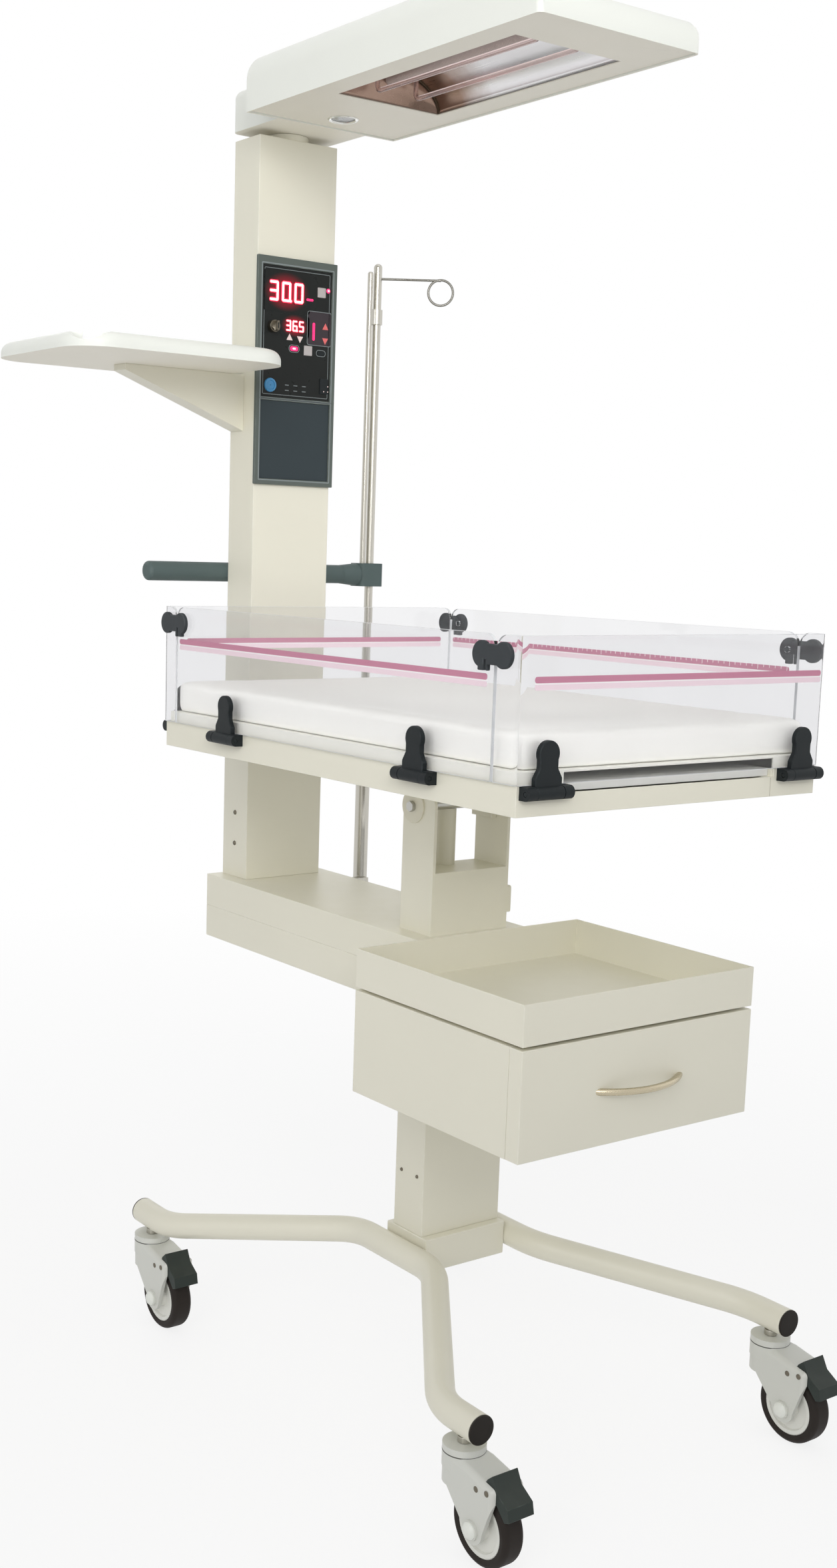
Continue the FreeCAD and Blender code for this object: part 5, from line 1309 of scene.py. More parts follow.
@dataclass
class Chassis:
    """The columns, the beam with its seam, the pivot bracket and the mains inlet."""

    boxes: tuple[tuple[str, float], ...] = (
        ("lower_column", 1.1 * MM), ("pivot_bracket", 1.6 * MM), ("beam_cover", 0.9 * MM),
        ("beam_tray", 0.9 * MM), ("rear_column", 1.1 * MM),
    )
    lock_place: Point = (69 * MM, -12 * MM, 702.5 * MM)
    lock_size: Point = (24 * MM, 39 * MM, 9 * MM)
    lock_corner: float = 3 * MM
    lock_round: float = 1.2 * MM
    small_screw: float = 2.6 * MM
    large_screw: float = 3.8 * MM
    small_screws_below: float = 500 * MM
    washer_from: float = 30 * MM
    washer_height: float = 3 * MM
    washer_chamfer: float = 0.6 * MM
    bolt_head: float = 6 * MM
    bolt_radius: float = 8 * MM
    bolt_round: float = 0.8 * MM
    inlet_round: float = 0.8 * MM
    inlet_floor: float = 4 * MM
    pins: tuple[Pair, ...] = ((-7 * MM, -1.8 * MM), (0.0, 3 * MM), (7 * MM, -1.8 * MM))
    pin_size: Point = (2 * MM, 4.5 * MM, 6 * MM)
    pin_corner: float = 0.5 * MM

    def build(self) -> None:
        """Dress the welded boxes and their small parts."""
        for node, radius in self.boxes:
            dress_node(node, CREAM, radius, segments=3)
        self.fasteners()
        dress_node("power_inlet", BLACK_PLASTIC, self.inlet_round)
        self.tilt_lock()
        self.inlet_pins()

    def fasteners(self) -> None:
        """Domed screw heads in the columns, and the pivot bolt."""
        screws = Form()
        for low, high in Form.of_node("fasteners").islands():
            middle = (low + high) / 2
            if high.y - low.y > self.washer_from:
                self.pivot_bolt(middle, high.x, (high.y - low.y) / 2)
                continue
            facing = Facing.LEFT if low.x < 0 else Facing.RIGHT
            seat = high.x if facing is Facing.LEFT else low.x
            small = middle.z < self.small_screws_below
            radius = self.small_screw if small else self.large_screw
            screws.dome(facing.at((seat, middle.y, middle.z)), radius, high.x - low.x)
        screws.piece("column_screws", DARK_METAL, "stand", ["fasteners"], "bright_steel")

    def pivot_bolt(self, middle: Vector, reach: float, radius: float) -> None:
        """A plain shank with a painted washer and a hexagon head at each end.

        Args:
            middle: The middle of the bolt.
            reach: From the middle to the face of a head.
            radius: Radius of the washers.
        """
        washers = Form()
        heads = Form()
        under_head = reach - self.bolt_head
        seat = under_head - self.washer_height
        top, chamfer = self.washer_height, self.washer_chamfer
        washer = [
            (0.0, 0.0), (radius, 0.0), (radius, top - chamfer), (radius - chamfer, top), (0.0, top),
        ]
        for facing, way in ((Facing.LEFT, -1), (Facing.RIGHT, 1)):
            place = facing.at((way * seat, middle.y, middle.z))
            washers.lathe(place, washer)
            place = facing.at((way * under_head, middle.y, middle.z))
            heads.prism(place, self.bolt_radius, sides=6, thickness=self.bolt_head)
        heads.soften(self.bolt_round)
        shank = [(0.0, 0.0), (self.bolt_radius, 0.0), (self.bolt_radius, 2 * seat), (0.0, 2 * seat)]
        heads.lathe(Facing.RIGHT.at((-seat, middle.y, middle.z)), shank)
        washers.piece("pivot_washers", WASHER_CREAM, "stand", ["fasteners"], "cream_paint")
        heads.piece("pivot_bolt_heads", ZINC, "stand", ["fasteners"], "bright_steel")

    def tilt_lock(self) -> None:
        """The small locking block on the bracket's right side."""
        width, height, depth = self.lock_size
        form = Form().plate(Facing.RIGHT.at(self.lock_place), width, height, depth, self.lock_corner)
        form.soften(self.lock_round).piece("tilt_lock_block", CREAM, "stand", slot="cream_paint")

    def inlet_pins(self) -> None:
        """Three contact blades inside the mains inlet."""
        middle = middle_of("power_inlet")
        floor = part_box("power_inlet")[0][1] + self.inlet_floor
        form = Form()
        for across, lift in self.pins:
            place = Facing.REAR.at((across, floor, middle.z + lift))
            form.plate(place, *self.pin_size, self.pin_corner)
        form.piece("inlet_pins", ZINC, "stand", slot="bright_steel")


@dataclass
class DrawerUnit:
    """The open tray over the drawer, the housing and the drawer with its bow handle."""

    sheet_round: float = 0.9 * MM
    front_round: float = 2.4 * MM
    front_rear: float = -349 * MM

    def build(self) -> None:
        """Dress the sheet-metal boxes and the handle."""
        dress_node("drawer_housing", CREAM, self.sheet_round)
        dress_node("top_tray", CREAM, self.sheet_round)
        front = (self.front_round, 4, lambda co: co.y < self.front_rear)
        dress_node("drawer", CREAM, self.sheet_round, first=front)
        dress_node("drawer_handle", NICKEL)


@dataclass
class Bed:
    """The tilting tray with its mattress, fold-down clear walls, hinges and latches."""

    sheet_round: float = 0.9 * MM
    tray_round: float = 0.6 * MM
    hinge_round: float = 1.2 * MM
    flap_round: float = 1.8 * MM
    wall_round: float = 0.5 * MM
    pad_start: float = 1 * MM
    pad_round: float = 5 * MM
    pad_voxel: float = 6 * MM
    pad_pressure: float = 3.0
    pad_cap: float = 3.0 * MM
    pad_frames: int = 20
    band_top: float = 1055 * MM
    band_height: float = 7.4 * MM
    line_height: float = 1.7 * MM
    pale_height: float = 6.4 * MM
    band_corner: float = 0.45
    bands: tuple[tuple[str, Facing, float, float], ...] = (
        ("left", Facing.LEFT, -351 * MM, 346 * MM), ("right", Facing.LEFT, -351 * MM, 346 * MM),
        ("front", Facing.FRONT, -239 * MM, 250 * MM), ("rear", Facing.FRONT, -239 * MM, 239 * MM),
    )
    film: float = 0.15 * MM
    tick_step: float = 10 * MM
    tick_width: float = 0.8 * MM
    tick_group: int = 5
    tick_shares: Pair = (0.8, 0.45)
    wall_edge: float = 7 * MM
    edge_level: float = 0.5
    edge_straight: float = 0.999
    tray_rim: float = 2 * MM
    plate_depth: float = 3 * MM
    plate_drop: float = 0.5 * MM
    plate_corner: float = 4 * MM
    plate_round: float = 0.4 * MM
    seam_place: Pair = (172 * MM, 907 * MM)
    seam_size: Point = (0.7 * MM, 24 * MM, 0.1 * MM)

    def build(self) -> None:
        """Dress the tray, the walls and their fittings."""
        dress_node("bassinet_tray", CREAM, self.sheet_round)
        dress_node("mattress_deck", DECK_WHITE, self.sheet_round)
        self.mattress()
        dress_node("xray_tray", TRAY_WHITE, self.tray_round)
        self.tray_plate()
        dress_node("panel_hinges", BLACK_PLASTIC, self.hinge_round, segments=3)
        for wall in ("left", "right", "front", "rear"):
            dress_split(f"{wall}_panel", ACRYLIC, CUT_EDGE, self.wall_round, self.is_cut_edge)
            if wall != "rear":
                dress_node(f"{wall}_hinge_flaps", BLACK_PLASTIC, self.flap_round, segments=3)
        for end in End:
            for side in Side:
                latch = f"{end.name}_{side.name}_latch".lower()
                dress_node(latch, LATCH_RUBBER, self.flap_round, segments=3)
        self.lip_seam()
        for wall, facing, start, end in self.bands:
            self.strips(wall, facing, start, end)

    def mattress(self) -> None:
        """A foam pad in a coated cover, swollen by a cloth simulation."""
        low, high = (Vector(corner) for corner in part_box("mattress"))
        inset = Vector((self.pad_start, self.pad_start, 0.0))
        top = Vector((0.0, 0.0, self.pad_start))
        form = Form().box(low + inset, high - inset - top).soften(self.pad_round, segments=3)
        pad = form.piece("mattress_pad", MATTRESS_CLOTH, "bassinet", ["mattress"], "mattress_cover")
        pad.modifiers.clear()
        self.swell(pad, low.z)
        fine = pad.modifiers.new("soft skin", "SUBSURF")
        fine.levels = 1
        fine.render_levels = 1

    def swell(self, pad: bpy.types.Object, floor: float) -> None:
        """Blow the pad up a little with cloth under pressure, and keep its foot flat.

        Args:
            pad: The pad, which gets the swollen mesh.
            floor: Height of what it lies on.
        """
        remesh = pad.modifiers.new("remesh", "REMESH")
        remesh.mode = "VOXEL"
        remesh.voxel_size = self.pad_voxel
        self.apply(pad)
        start = [vert.co.copy() for vert in pad.data.vertices]
        cloth = pad.modifiers.new("cloth", "CLOTH")
        cloth.settings.use_pressure = True
        cloth.settings.uniform_pressure_force = self.pad_pressure
        cloth.settings.effector_weights.gravity = 0.0
        cloth.point_cache.frame_end = self.pad_frames
        for step in range(1, self.pad_frames + 1):
            bpy.context.scene.frame_set(step)
        self.apply(pad)
        bpy.context.scene.frame_set(1)
        for vert, rest in zip(pad.data.vertices, start):
            move = vert.co - rest
            if move.length > self.pad_cap:
                vert.co = rest + move.normalized() * self.pad_cap
            vert.co.z = max(vert.co.z, floor)

    @staticmethod
    def apply(pad: bpy.types.Object) -> None:
        """Put the result of the modifiers into the mesh and drop them.

        Args:
            pad: The object whose modifiers are applied.
        """
        shown = pad.evaluated_get(bpy.context.evaluated_depsgraph_get())
        mesh = bpy.data.meshes.new_from_object(shown)
        pad.modifiers.clear()
        pad.data = mesh
        mesh.polygons.foreach_set("use_smooth", [True] * len(mesh.polygons))

    def lip_seam(self) -> None:
        """The thin joint in the tray's front lip, beside the cassette slot."""
        across, height = self.seam_place
        place = Facing.FRONT.at((across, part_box("bassinet_tray")[0][1], height))
        Form().plate(place, *self.seam_size).piece("tray_lip_seam", SEAM_SHADE, "bassinet")

    def is_cut_edge(self, face: Face) -> bool:
        """Whether a face of a clear wall lies on its top, its foot or one of its narrow ends.

        Args:
            face: The face.

        Returns:
            True for the cut edges, and False for the clear sides and the rounded bends.
        """
        xs, ys = zip(*(vert.co.xy for vert in face.verts))
        across = math.hypot(max(xs) - min(xs), max(ys) - min(ys))
        straight = max(abs(face.normal.x), abs(face.normal.y)) > self.edge_straight
        return abs(face.normal.z) > self.edge_level or (straight and across < self.wall_edge)

    def tray_plate(self) -> None:
        """The flat plate that fills the cassette tray up to its rim."""
        low, high = (Vector(corner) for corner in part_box("xray_tray"))
        middle = (low + high) / 2
        size = high - low - 2 * Vector((self.tray_rim, self.tray_rim, 0.0))
        place = Facing.UP.at((middle.x, middle.y, high.z - self.plate_depth))
        depth = self.plate_depth - self.plate_drop
        plate = Form().plate(place, size.x, size.y, depth, self.plate_corner)
        plate.soften(self.plate_round).piece("xray_tray_plate", TRAY_WHITE, "xray_carrier")

    def strips(self, wall: str, facing: Facing, start: float, end: float) -> None:
        """The printed band, line and pale band along the face of a clear wall that looks left or front.

        Args:
            wall: Which wall.
            facing: The way that face looks.
            start: Where the band starts along the wall.
            end: Where it ends.
        """
        body = body_of(f"{wall}_panel")
        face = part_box(f"{wall}_panel")[0][0 if facing is Facing.LEFT else 1] - self.film
        along = (start + end) / 2
        length = end - start
        top = self.band_top
        for name, finish, height in (
            ("band", STRIP_PINK, self.band_height),
            ("line", STRIP_LINE, self.line_height),
            ("pale_band", STRIP_PALE, self.pale_height),
        ):
            spot = self.on_wall(facing, face, along, top - height / 2)
            form = Form().plate(spot, length, height, self.film, self.band_corner * height)
            form.piece(f"{wall}_{name}", finish, body)
            top -= height
        if wall == "right":
            self.ticks(facing, face, along, length)

    def ticks(self, facing: Facing, face: float, along: float, length: float) -> None:
        """The scale's ticks on the right wall's band, each fifth one taller.

        Args:
            facing: The way the band looks.
            face: Where its face lies.
            along: The band's middle along the wall.
            length: The band's length.
        """
        ticks = Form()
        count = int(length / self.tick_step)
        for step in range(count + 1):
            tall = self.band_height * self.tick_shares[0 if step % self.tick_group == 0 else 1]
            place = along + (step - count / 2) * self.tick_step
            spot = self.on_wall(facing, face, place, self.band_top - tall / 2)
            ticks.plate(spot, self.tick_width, tall, 2 * self.film)
        ticks.piece("right_band_ticks", STRIP_LINE, body_of("right_panel"))

    @staticmethod
    def on_wall(facing: Facing, face: float, along: float, height: float) -> Matrix:
        """Find a place on a wall's face.

        Args:
            facing: The way the face looks.
            face: Where it lies.
            along: Distance along the wall.
            height: Height over the floor.

        Returns:
            The place, looking out of the wall.
        """
        if facing is Facing.LEFT:
            return facing.at((face, along, height))
        return facing.at((along, face, height))


class Bar(Enum):
    """The seven bars of a digit: middle in half widths and half heights, and whether it stands."""

    TOP = (0.0, 1.0, False)
    MIDDLE = (0.0, 0.0, False)
    BOTTOM = (0.0, -1.0, False)
    UPPER_LEFT = (-1.0, 0.5, True)
    UPPER_RIGHT = (1.0, 0.5, True)
    LOWER_LEFT = (-1.0, -0.5, True)
    LOWER_RIGHT = (1.0, -0.5, True)


DARK_BARS = {
    "0": {Bar.MIDDLE},
    "3": {Bar.UPPER_LEFT, Bar.LOWER_LEFT},
    "5": {Bar.UPPER_RIGHT, Bar.LOWER_LEFT},
    "6": {Bar.UPPER_RIGHT},
}


@dataclass
class Readout:
    """A lit number of seven-bar digits."""

    name: str
    text: str
    place: Pair
    digit: Pair
    pitch: float
    stroke: float
    layers: tuple[tuple[str, Finish, float, float], ...] = (
        ("glow", RED_DIGIT, 1.75, 0.25 * MM), ("core", RED_CORE, 1.0, 0.4 * MM),
    )
    dot_place: Pair = (0.62, -0.5)
    dot_radius: float = 0.55
    overlap: float = 0.55
    bar_corner: float = 0.42

    def build(self, face: float) -> None:
        """Lay the hot cores of the bars over their wider red glow.

        Args:
            face: Depth of the panel's face.
        """
        for layer, finish, swell, depth in self.layers:
            form = Form()
            across = self.place[0]
            for mark in self.text:
                if mark == ".":
                    out, up = (share * size for share, size in zip(self.dot_place, self.digit))
                    spot = (across - self.pitch + out, self.place[1] + up)
                    self.dot(form, spot, face, swell, depth)
                    continue
                for bar in Bar:
                    if bar not in DARK_BARS[mark]:
                        self.bar(form, bar, across, face, swell, depth)
                across += self.pitch
            form.piece(f"{self.name}_{layer}", finish, "stand")

    def dot(
        self, form: Form, spot: Pair, face: float, swell: float, depth: float
    ) -> None:
        """Add a decimal point.

        Args:
            form: What it is added to.
            spot: Its place across and up.
            face: Depth of the panel's face.
            swell: How much wider than the stroke it is.
            depth: How far it stands out.
        """
        place = Facing.FRONT.at((spot[0], face, spot[1]))
        form.prism(place, self.dot_radius * self.stroke * swell, sides=16, thickness=depth)

    def bar(
        self, form: Form, bar: Bar, across: float, face: float, swell: float, depth: float
    ) -> None:
        """Add one bar of a digit.

        Args:
            form: What it is added to.
            bar: Which bar.
            across: The digit's middle.
            face: Depth of the panel's face.
            swell: How much wider than the stroke it is.
            depth: How far it stands out.
        """
        width, height = self.digit
        side, rise, standing = bar.value
        place = Facing.FRONT.at((across + side * width / 2, face, self.place[1] + rise * height / 2))
        stroke = self.stroke * swell
        length = (height / 2 if standing else width) + stroke * self.overlap
        size = (stroke, length) if standing else (length, stroke)
        form.plate(place, *size, depth, self.bar_corner * stroke)


@dataclass(frozen=True)
class Mark:
    """A flat mark on the panel in millimetres: its middle, size, depth, corners, line and lift."""

    across: float
    up: float
    width: float
    height: float
    depth: float
    corner: float
    line: float = 0.0
    lift: float = 0.0


@dataclass
class ControlPanel:
    """The framed front panel with its displays, lamps, keys and sockets."""

    face: float = 447.3 * MM
    rim: float = 445.3 * MM
    divide: float = 1418.5 * MM
    key_round: float = 1.0 * MM
    lock_round: float = 0.8 * MM
    fascia_round: float = 0.4 * MM
    mark_round: float = 0.3 * MM
    print_depth: float = 0.2 * MM
    digit_lift: float = 0.3 * MM
    window_half_width: float = 64.5 * MM
    windows: tuple[Pair, ...] = ((1421 * MM, 1618 * MM), (1297 * MM, 1416 * MM))
    window_margin: float = 6 * MM
    window_corner: float = 2 * MM
    window_line: float = 1.8 * MM
    inner_line: Mark = Mark(0, 1519.5, 122, 189, 0.2, 2, 0.8)
    readouts: tuple[Readout, ...] = (
        Readout("skin_readout", "30.0", (-43.5 * MM, 1580.5 * MM), (13 * MM, 26 * MM), 23 * MM, 3.8 * MM),
        Readout("set_readout", "36.5", (-15.5 * MM, 1531 * MM), (7 * MM, 14 * MM), 12 * MM, 2.4 * MM),
    )
    haze_red: Colour = srgb(150, 0, 30)
    # Painted red glow round each readout: its middle, size, depth and corners.
    painted_glows: tuple[tuple[str, Mark], ...] = (
        ("skin_readout_haze", Mark(-20, 1580.5, 88, 62, 0.2, 6)),
        ("set_readout_haze", Mark(-3.5, 1531, 54, 36, 0.2, 6)),
    )
    lit_marks: tuple[Mark, ...] = (
        Mark(23.5, 1573, 13, 3.6, 0.5, 1.5), Mark(32, 1526, 4.6, 27, 0.5, 2),
        Mark(-4, 1497, 15, 7, 0.5, 3.2),
    )
    hot_mark: Mark = Mark(-4, 1497, 6, 2.6, 0.2, 1.2, lift=0.5)
    alarm_place: Pair = (58, 1590)
    alarm_size: Pair = (3.6 * MM, 1.6 * MM)
    alarm_core: Pair = (1.8 * MM, 0.9 * MM)
    alarm_core_lift: float = 1.2 * MM
    sub_panel: Mark = Mark(42.5, 1531, 46, 52, 0.2, 4)
    surrounds: tuple[Mark, ...] = (
        Mark(42.5, 1531, 46, 52, 0.4, 4, 0.9), Mark(-4, 1497, 20, 11.5, 0.4, 5.4, 0.8),
        Mark(46.5, 1494, 18, 10, 0.4, 4.8, 0.8),
    )
    short_marks: tuple[Mark, ...] = tuple(
        Mark(across, up, 7, 1.2, 0.4, 0.5) for across in (-16, 0, 16) for up in (1433, 1441)
    )
    set_arrows: tuple[Point, ...] = ((-13, 1512.5, 0), (6.5, 1513, 180))
    sub_panel_arrows: tuple[Point, ...] = ((54, 1534, 0), (54, 1514.5, 180))
    arrow_radius: float = 6.6 * MM
    arrow_depth: float = 0.6 * MM
    arrow_round: float = 0.25 * MM
    socket_place: Pair = (-47, 1439)
    socket_profile: tuple[Pair, ...] = (
        (0.8 * MM, 0.0), (0.8 * MM, 1.2 * MM), (6.6 * MM, 1.4 * MM), (7.4 * MM, 3.0 * MM),
        (10.2 * MM, 2.2 * MM), (10.8 * MM, 0.0),
    )
    dark_marks: tuple[Mark, ...] = (Mark(46.5, 1494, 14, 6, 0.8, 2.8), Mark(53, 1444, 15, 24, 1.6, 2))
    dark_round: float = 0.5 * MM
    contacts: tuple[Pair, ...] = ((53, 1436), (60.5, 1436), (60.5, 1444))
    contact_size: Pair = (0.9 * MM, 0.4 * MM)
    contact_lift: float = 1.6 * MM
    key_slot: tuple[float, ...] = (1.6 * MM, 9 * MM, 0.3 * MM, 0.7 * MM)

    def build(self) -> None:
        """Dress the frame and keys and lay out the front."""
        dress_node("panel_bezel", BEZEL_GREY, self.key_round, segments=3)
        self.fascia()
        dress_node("mute_button", KEY_WHITE, self.key_round, segments=3)
        dress_node("mode_button", KEY_WHITE, self.key_round, segments=3)
        dress_node("key_switch", DARK_METAL, self.lock_round, segments=3)
        for readout in self.readouts:
            readout.build(self.face - self.digit_lift)
        self.lamps()
        self.prints()
        self.sockets()

    def at(self, across: float, up: float, lift: float = 0.0) -> Matrix:
        """A place on the panel's face, in millimetres across and up, and how far it is lifted off."""
        return Facing.FRONT.at((across * MM, self.face - lift, up * MM))

    def marks(self, *marks: Mark) -> Form:
        """Lay out flat marks.

        Args:
            marks: Each mark's place and size.

        Returns:
            A form with one plate or line for each.
        """
        form = Form()
        for mark in marks:
            sizes = (mark.width, mark.height, mark.depth, mark.corner, mark.line)
            form.plate(self.at(mark.across, mark.up, mark.lift * MM), *(size * MM for size in sizes))
        return form

    def fascia(self) -> None:
        """The dark display window above and the slate field below, each with a pale rim line."""
        for name, finish, wanted in (
            ("fascia_display", WINDOW_BLACK, lambda co: co.z > self.divide),
            ("fascia_field", PANEL_SLATE, lambda co: co.z < self.divide),
        ):
            part = Form.of_node("panel_fascia").keep(wanted).soften(self.fascia_round)
            part.piece(name, finish, "stand", ["panel_fascia"], "panel_slate")
        lines = self.marks(self.inner_line)
        width = 2 * self.window_half_width + self.window_margin
        for low, high in self.windows:
            place = Facing.FRONT.at((0, self.rim, (low + high) / 2))
            height = high - low + self.window_margin
            lines.plate(place, width, height, self.print_depth, self.window_corner, self.window_line)
        lines.piece("panel_rim_lines", PRINT_GREY, "stand", slot="bezel_grey")

    def lamps(self) -> None:
        """The painted red glow behind the readouts, the lit dash, bar and round lamps."""
        # The red glow round each readout is painted onto the dark window as emission.
        for name, mark in self.painted_glows:
            finish = PaintedGlow(
                f"red_{name}", self.haze_red, WINDOW_BLACK.colour,
                (mark.across * MM, self.face, mark.up * MM),
                (mark.width / 2 * MM, 1.0, mark.height / 2 * MM),
            )
            self.marks(mark).piece(name, finish, "stand")
        lit = self.marks(*self.lit_marks).dome(self.at(*self.alarm_place), *self.alarm_size)
        lit.soften(self.mark_round).piece("panel_lamps", RED_LAMP, "stand")
        core = self.at(*self.alarm_place, self.alarm_core_lift)
        hot = self.marks(self.hot_mark).dome(core, *self.alarm_core)
        hot.piece("panel_lamp_cores", RED_CORE, "stand")

    def prints(self) -> None:
        """The sub-panel, the arrows, the lamp surrounds and the rows of short marks."""
        self.marks(self.sub_panel).piece("sub_panel_field", SUB_PANEL, "stand", slot="panel_slate")
        self.marks(*self.surrounds, *self.short_marks).piece("panel_print_lines", PRINT_GREY, "stand")
        self.arrows("set_arrows", PRINT_WHITE, self.set_arrows)
        self.arrows("sub_panel_arrows", PRINT_SALMON, self.sub_panel_arrows)

    def arrows(self, name: str, finish: Finish, spots: Sequence[Point]) -> None:
        """Raised arrow keys.

        Args:
            name: The piece's name.
            finish: What they are dressed in.
            spots: Across and up in millimetres, and which way each points, in degrees.
        """
        form = Form()
        for across, up, turn in spots:
            place = self.at(across, up)
            form.prism(place, self.arrow_radius, sides=3, thickness=self.arrow_depth, turn=turn)
        form.soften(self.arrow_round).piece(name, finish, "stand")

    def sockets(self) -> None:
        """The round blue socket, the dark slot and the dark connector with its contacts."""
        blue = Form().lathe(self.at(*self.socket_place), self.socket_profile, closed=True)
        blue.piece("probe_socket", SOCKET_BLUE, "stand", slot="black_plastic")
        holes = self.marks(*self.dark_marks).soften(self.dark_round)
        holes.piece("panel_connector", BLACK_PLASTIC, "stand", slot="black_plastic")
        contacts = Form()
        for spot in self.contacts:
            contacts.dome(self.at(*spot, self.contact_lift), *self.contact_size)
        contacts.piece("connector_contacts", PRINT_WHITE, "stand")
        slot_form = Form().plate(self.key_face(), *self.key_slot)
        slot_form.piece("key_slot", BLACK_PLASTIC, "lock_key", slot="black_plastic")

    @staticmethod
    def key_face() -> Matrix:
        """The middle of the key switch's front face."""
        middle = middle_of("key_switch")
        return Facing.FRONT.at((middle.x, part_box("key_switch")[0][1], middle.z))


@dataclass
class HeaterHead:
    """The overhead housing with its mirrored trough, quartz rods and examination lamp."""

    shell_round: float = 1.2 * MM
    plate_round: float = 0.6 * MM
    opening_half_width: float = 89 * MM
    opening_front: float = -152.7 * MM
    opening_rear: float = 224.3 * MM
    trough_lift: float = 0.2 * MM
    trough_rise: float = 49 * MM
    trough_wall: float = 1.2 * MM
    end_trim: float = 2.4 * MM
    trim_profile: tuple[Pair, ...] = ((0.972, -0.5), (0.995, -0.5), (0.995, 0.5), (0.972, 0.5))
    trim_steps: int = 64
    trim_slack: float = 0.01 * MM
    coil_pitch: float = 3 * MM
    coil_depth: float = 0.6 * MM
    coil_gap: float = 0.1 * MM
    coil_steps: int = 20
    lamp_lift: float = 3 * MM
    lamp_radius: float = 23 * MM
    lens_radius: float = 17.5 * MM
    barrel_radius: float = 20 * MM
    barrel_depth: float = 20 * MM
    lens_seat: float = 10 * MM
    lens_depth: float = 3 * MM
    ring_front: tuple[Pair, ...] = (
        (17.5 * MM, 1.4 * MM), (18.5 * MM, 2.4 * MM), (21.5 * MM, 3 * MM), (23 * MM, 1.6 * MM),
    )
    rib_count: int = 8
    rib_pitch: float = 2 * MM
    rib_heights: Pair = (0.6 * MM, 0.25 * MM)

    @property
    def trough_foot(self) -> float:
        """Height of the reflector's open side."""
        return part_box("reflector")[0][2] + self.trough_lift

    def build(self) -> None:
        """Dress the housing and what it holds."""
        # The shell's downward faces and the underplate take a warm beige of painted bounce light.
        dress_split("head_shell", WHITE_SHELL, UNDERSIDE_BOUNCE, self.shell_round, looks_down("head_shell"))
        dress_node("head_underplate", UNDERSIDE_BOUNCE, self.plate_round)
        self.mirror()
        self.element()
        dress_node("guard_rods", QUARTZ)
        self.lamp()

    def mirror(self) -> None:
        """The curved reflector, and the dark trim along its two ends."""
        middle = (self.opening_front + self.opening_rear) / 2
        length = self.opening_rear - self.opening_front
        place = Facing.REAR.at((0, middle, self.trough_foot))
        form = Form().trough(place, self.opening_half_width, self.trough_rise, length)
        bmesh.ops.reverse_faces(form.bm, faces=form.bm.faces)
        piece = form.piece("curved_reflector", MIRROR, "heater_head", ["reflector"], "bright_mirror")
        wall = piece.modifiers.new("sheet", "SOLIDIFY")
        wall.thickness = self.trough_wall
        wall.offset = -1.0
        trims = Form()
        for end in (self.opening_front, self.opening_rear):
            inward = self.end_trim if end == self.opening_front else -self.end_trim
            spot = Facing.REAR.at((0, end + inward, self.trough_foot))
            size = Matrix.Diagonal((self.opening_half_width, self.trough_rise, self.end_trim, 1.0))
            trims.lathe(spot @ size, self.trim_profile, closed=True, steps=self.trim_steps)
        trims.keep(lambda co: co.z > self.trough_foot - self.trim_slack)
        trims.piece("reflector_end_trim", DARK_METAL, "heater_head")

    def element(self) -> None:
        """The wound heater rod between its two holders."""
        low, high = (Vector(corner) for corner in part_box("heater_element"))
        middle = (low + high) / 2
        radius = (high.x - low.x) / 2
        half = (high.y - low.y) / 2
        turns = int(2 * half / self.coil_pitch)
        profile = [(0.0, -half)]
        for turn in range(turns):
            start = -half + 2 * half * turn / turns
            profile.append((radius - self.coil_depth, start + self.coil_gap))
            profile.append((radius, start + self.coil_pitch / 2))
        profile += [(radius - self.coil_depth, half), (0.0, half)]
        form = Form().lathe(Facing.REAR.at(middle), profile, steps=self.coil_steps)
        form.piece("wound_element", DARK_ELEMENT, "heater_head", ["heater_element"], "dark_element")

    def lamp(self) -> None:
        """The examination lamp: a chrome ring round a ribbed lens."""
        low, high = (Vector(corner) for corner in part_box("exam_lamp"))
        middle = (low + high) / 2
        place = Facing.DOWN.at((middle.x, middle.y, low.z + self.lamp_lift))
        ring = [
            (self.lens_radius, -self.lens_seat), *self.ring_front, (self.lamp_radius, 0.0),
            (self.barrel_radius, 0.0), (self.barrel_radius, -self.barrel_depth),
            (self.lens_radius, -self.barrel_depth),
        ]
        chrome = Form().lathe(place, ring, closed=True)
        chrome.piece("exam_lamp_ring", CHROME, "heater_head", ["exam_lamp"], "bright_steel")
        ribs = [(rib * self.rib_pitch, self.rib_heights[rib % 2]) for rib in range(self.rib_count + 1)]
        ribs += [(self.lens_radius, 0.0), (self.lens_radius, -self.lens_depth), (0.0, -self.lens_depth)]
        lens = Form().lathe(place, ribs)
        lens.piece("exam_lamp_lens", LAMP_GLASS, "heater_head", slot="lamp_glass")


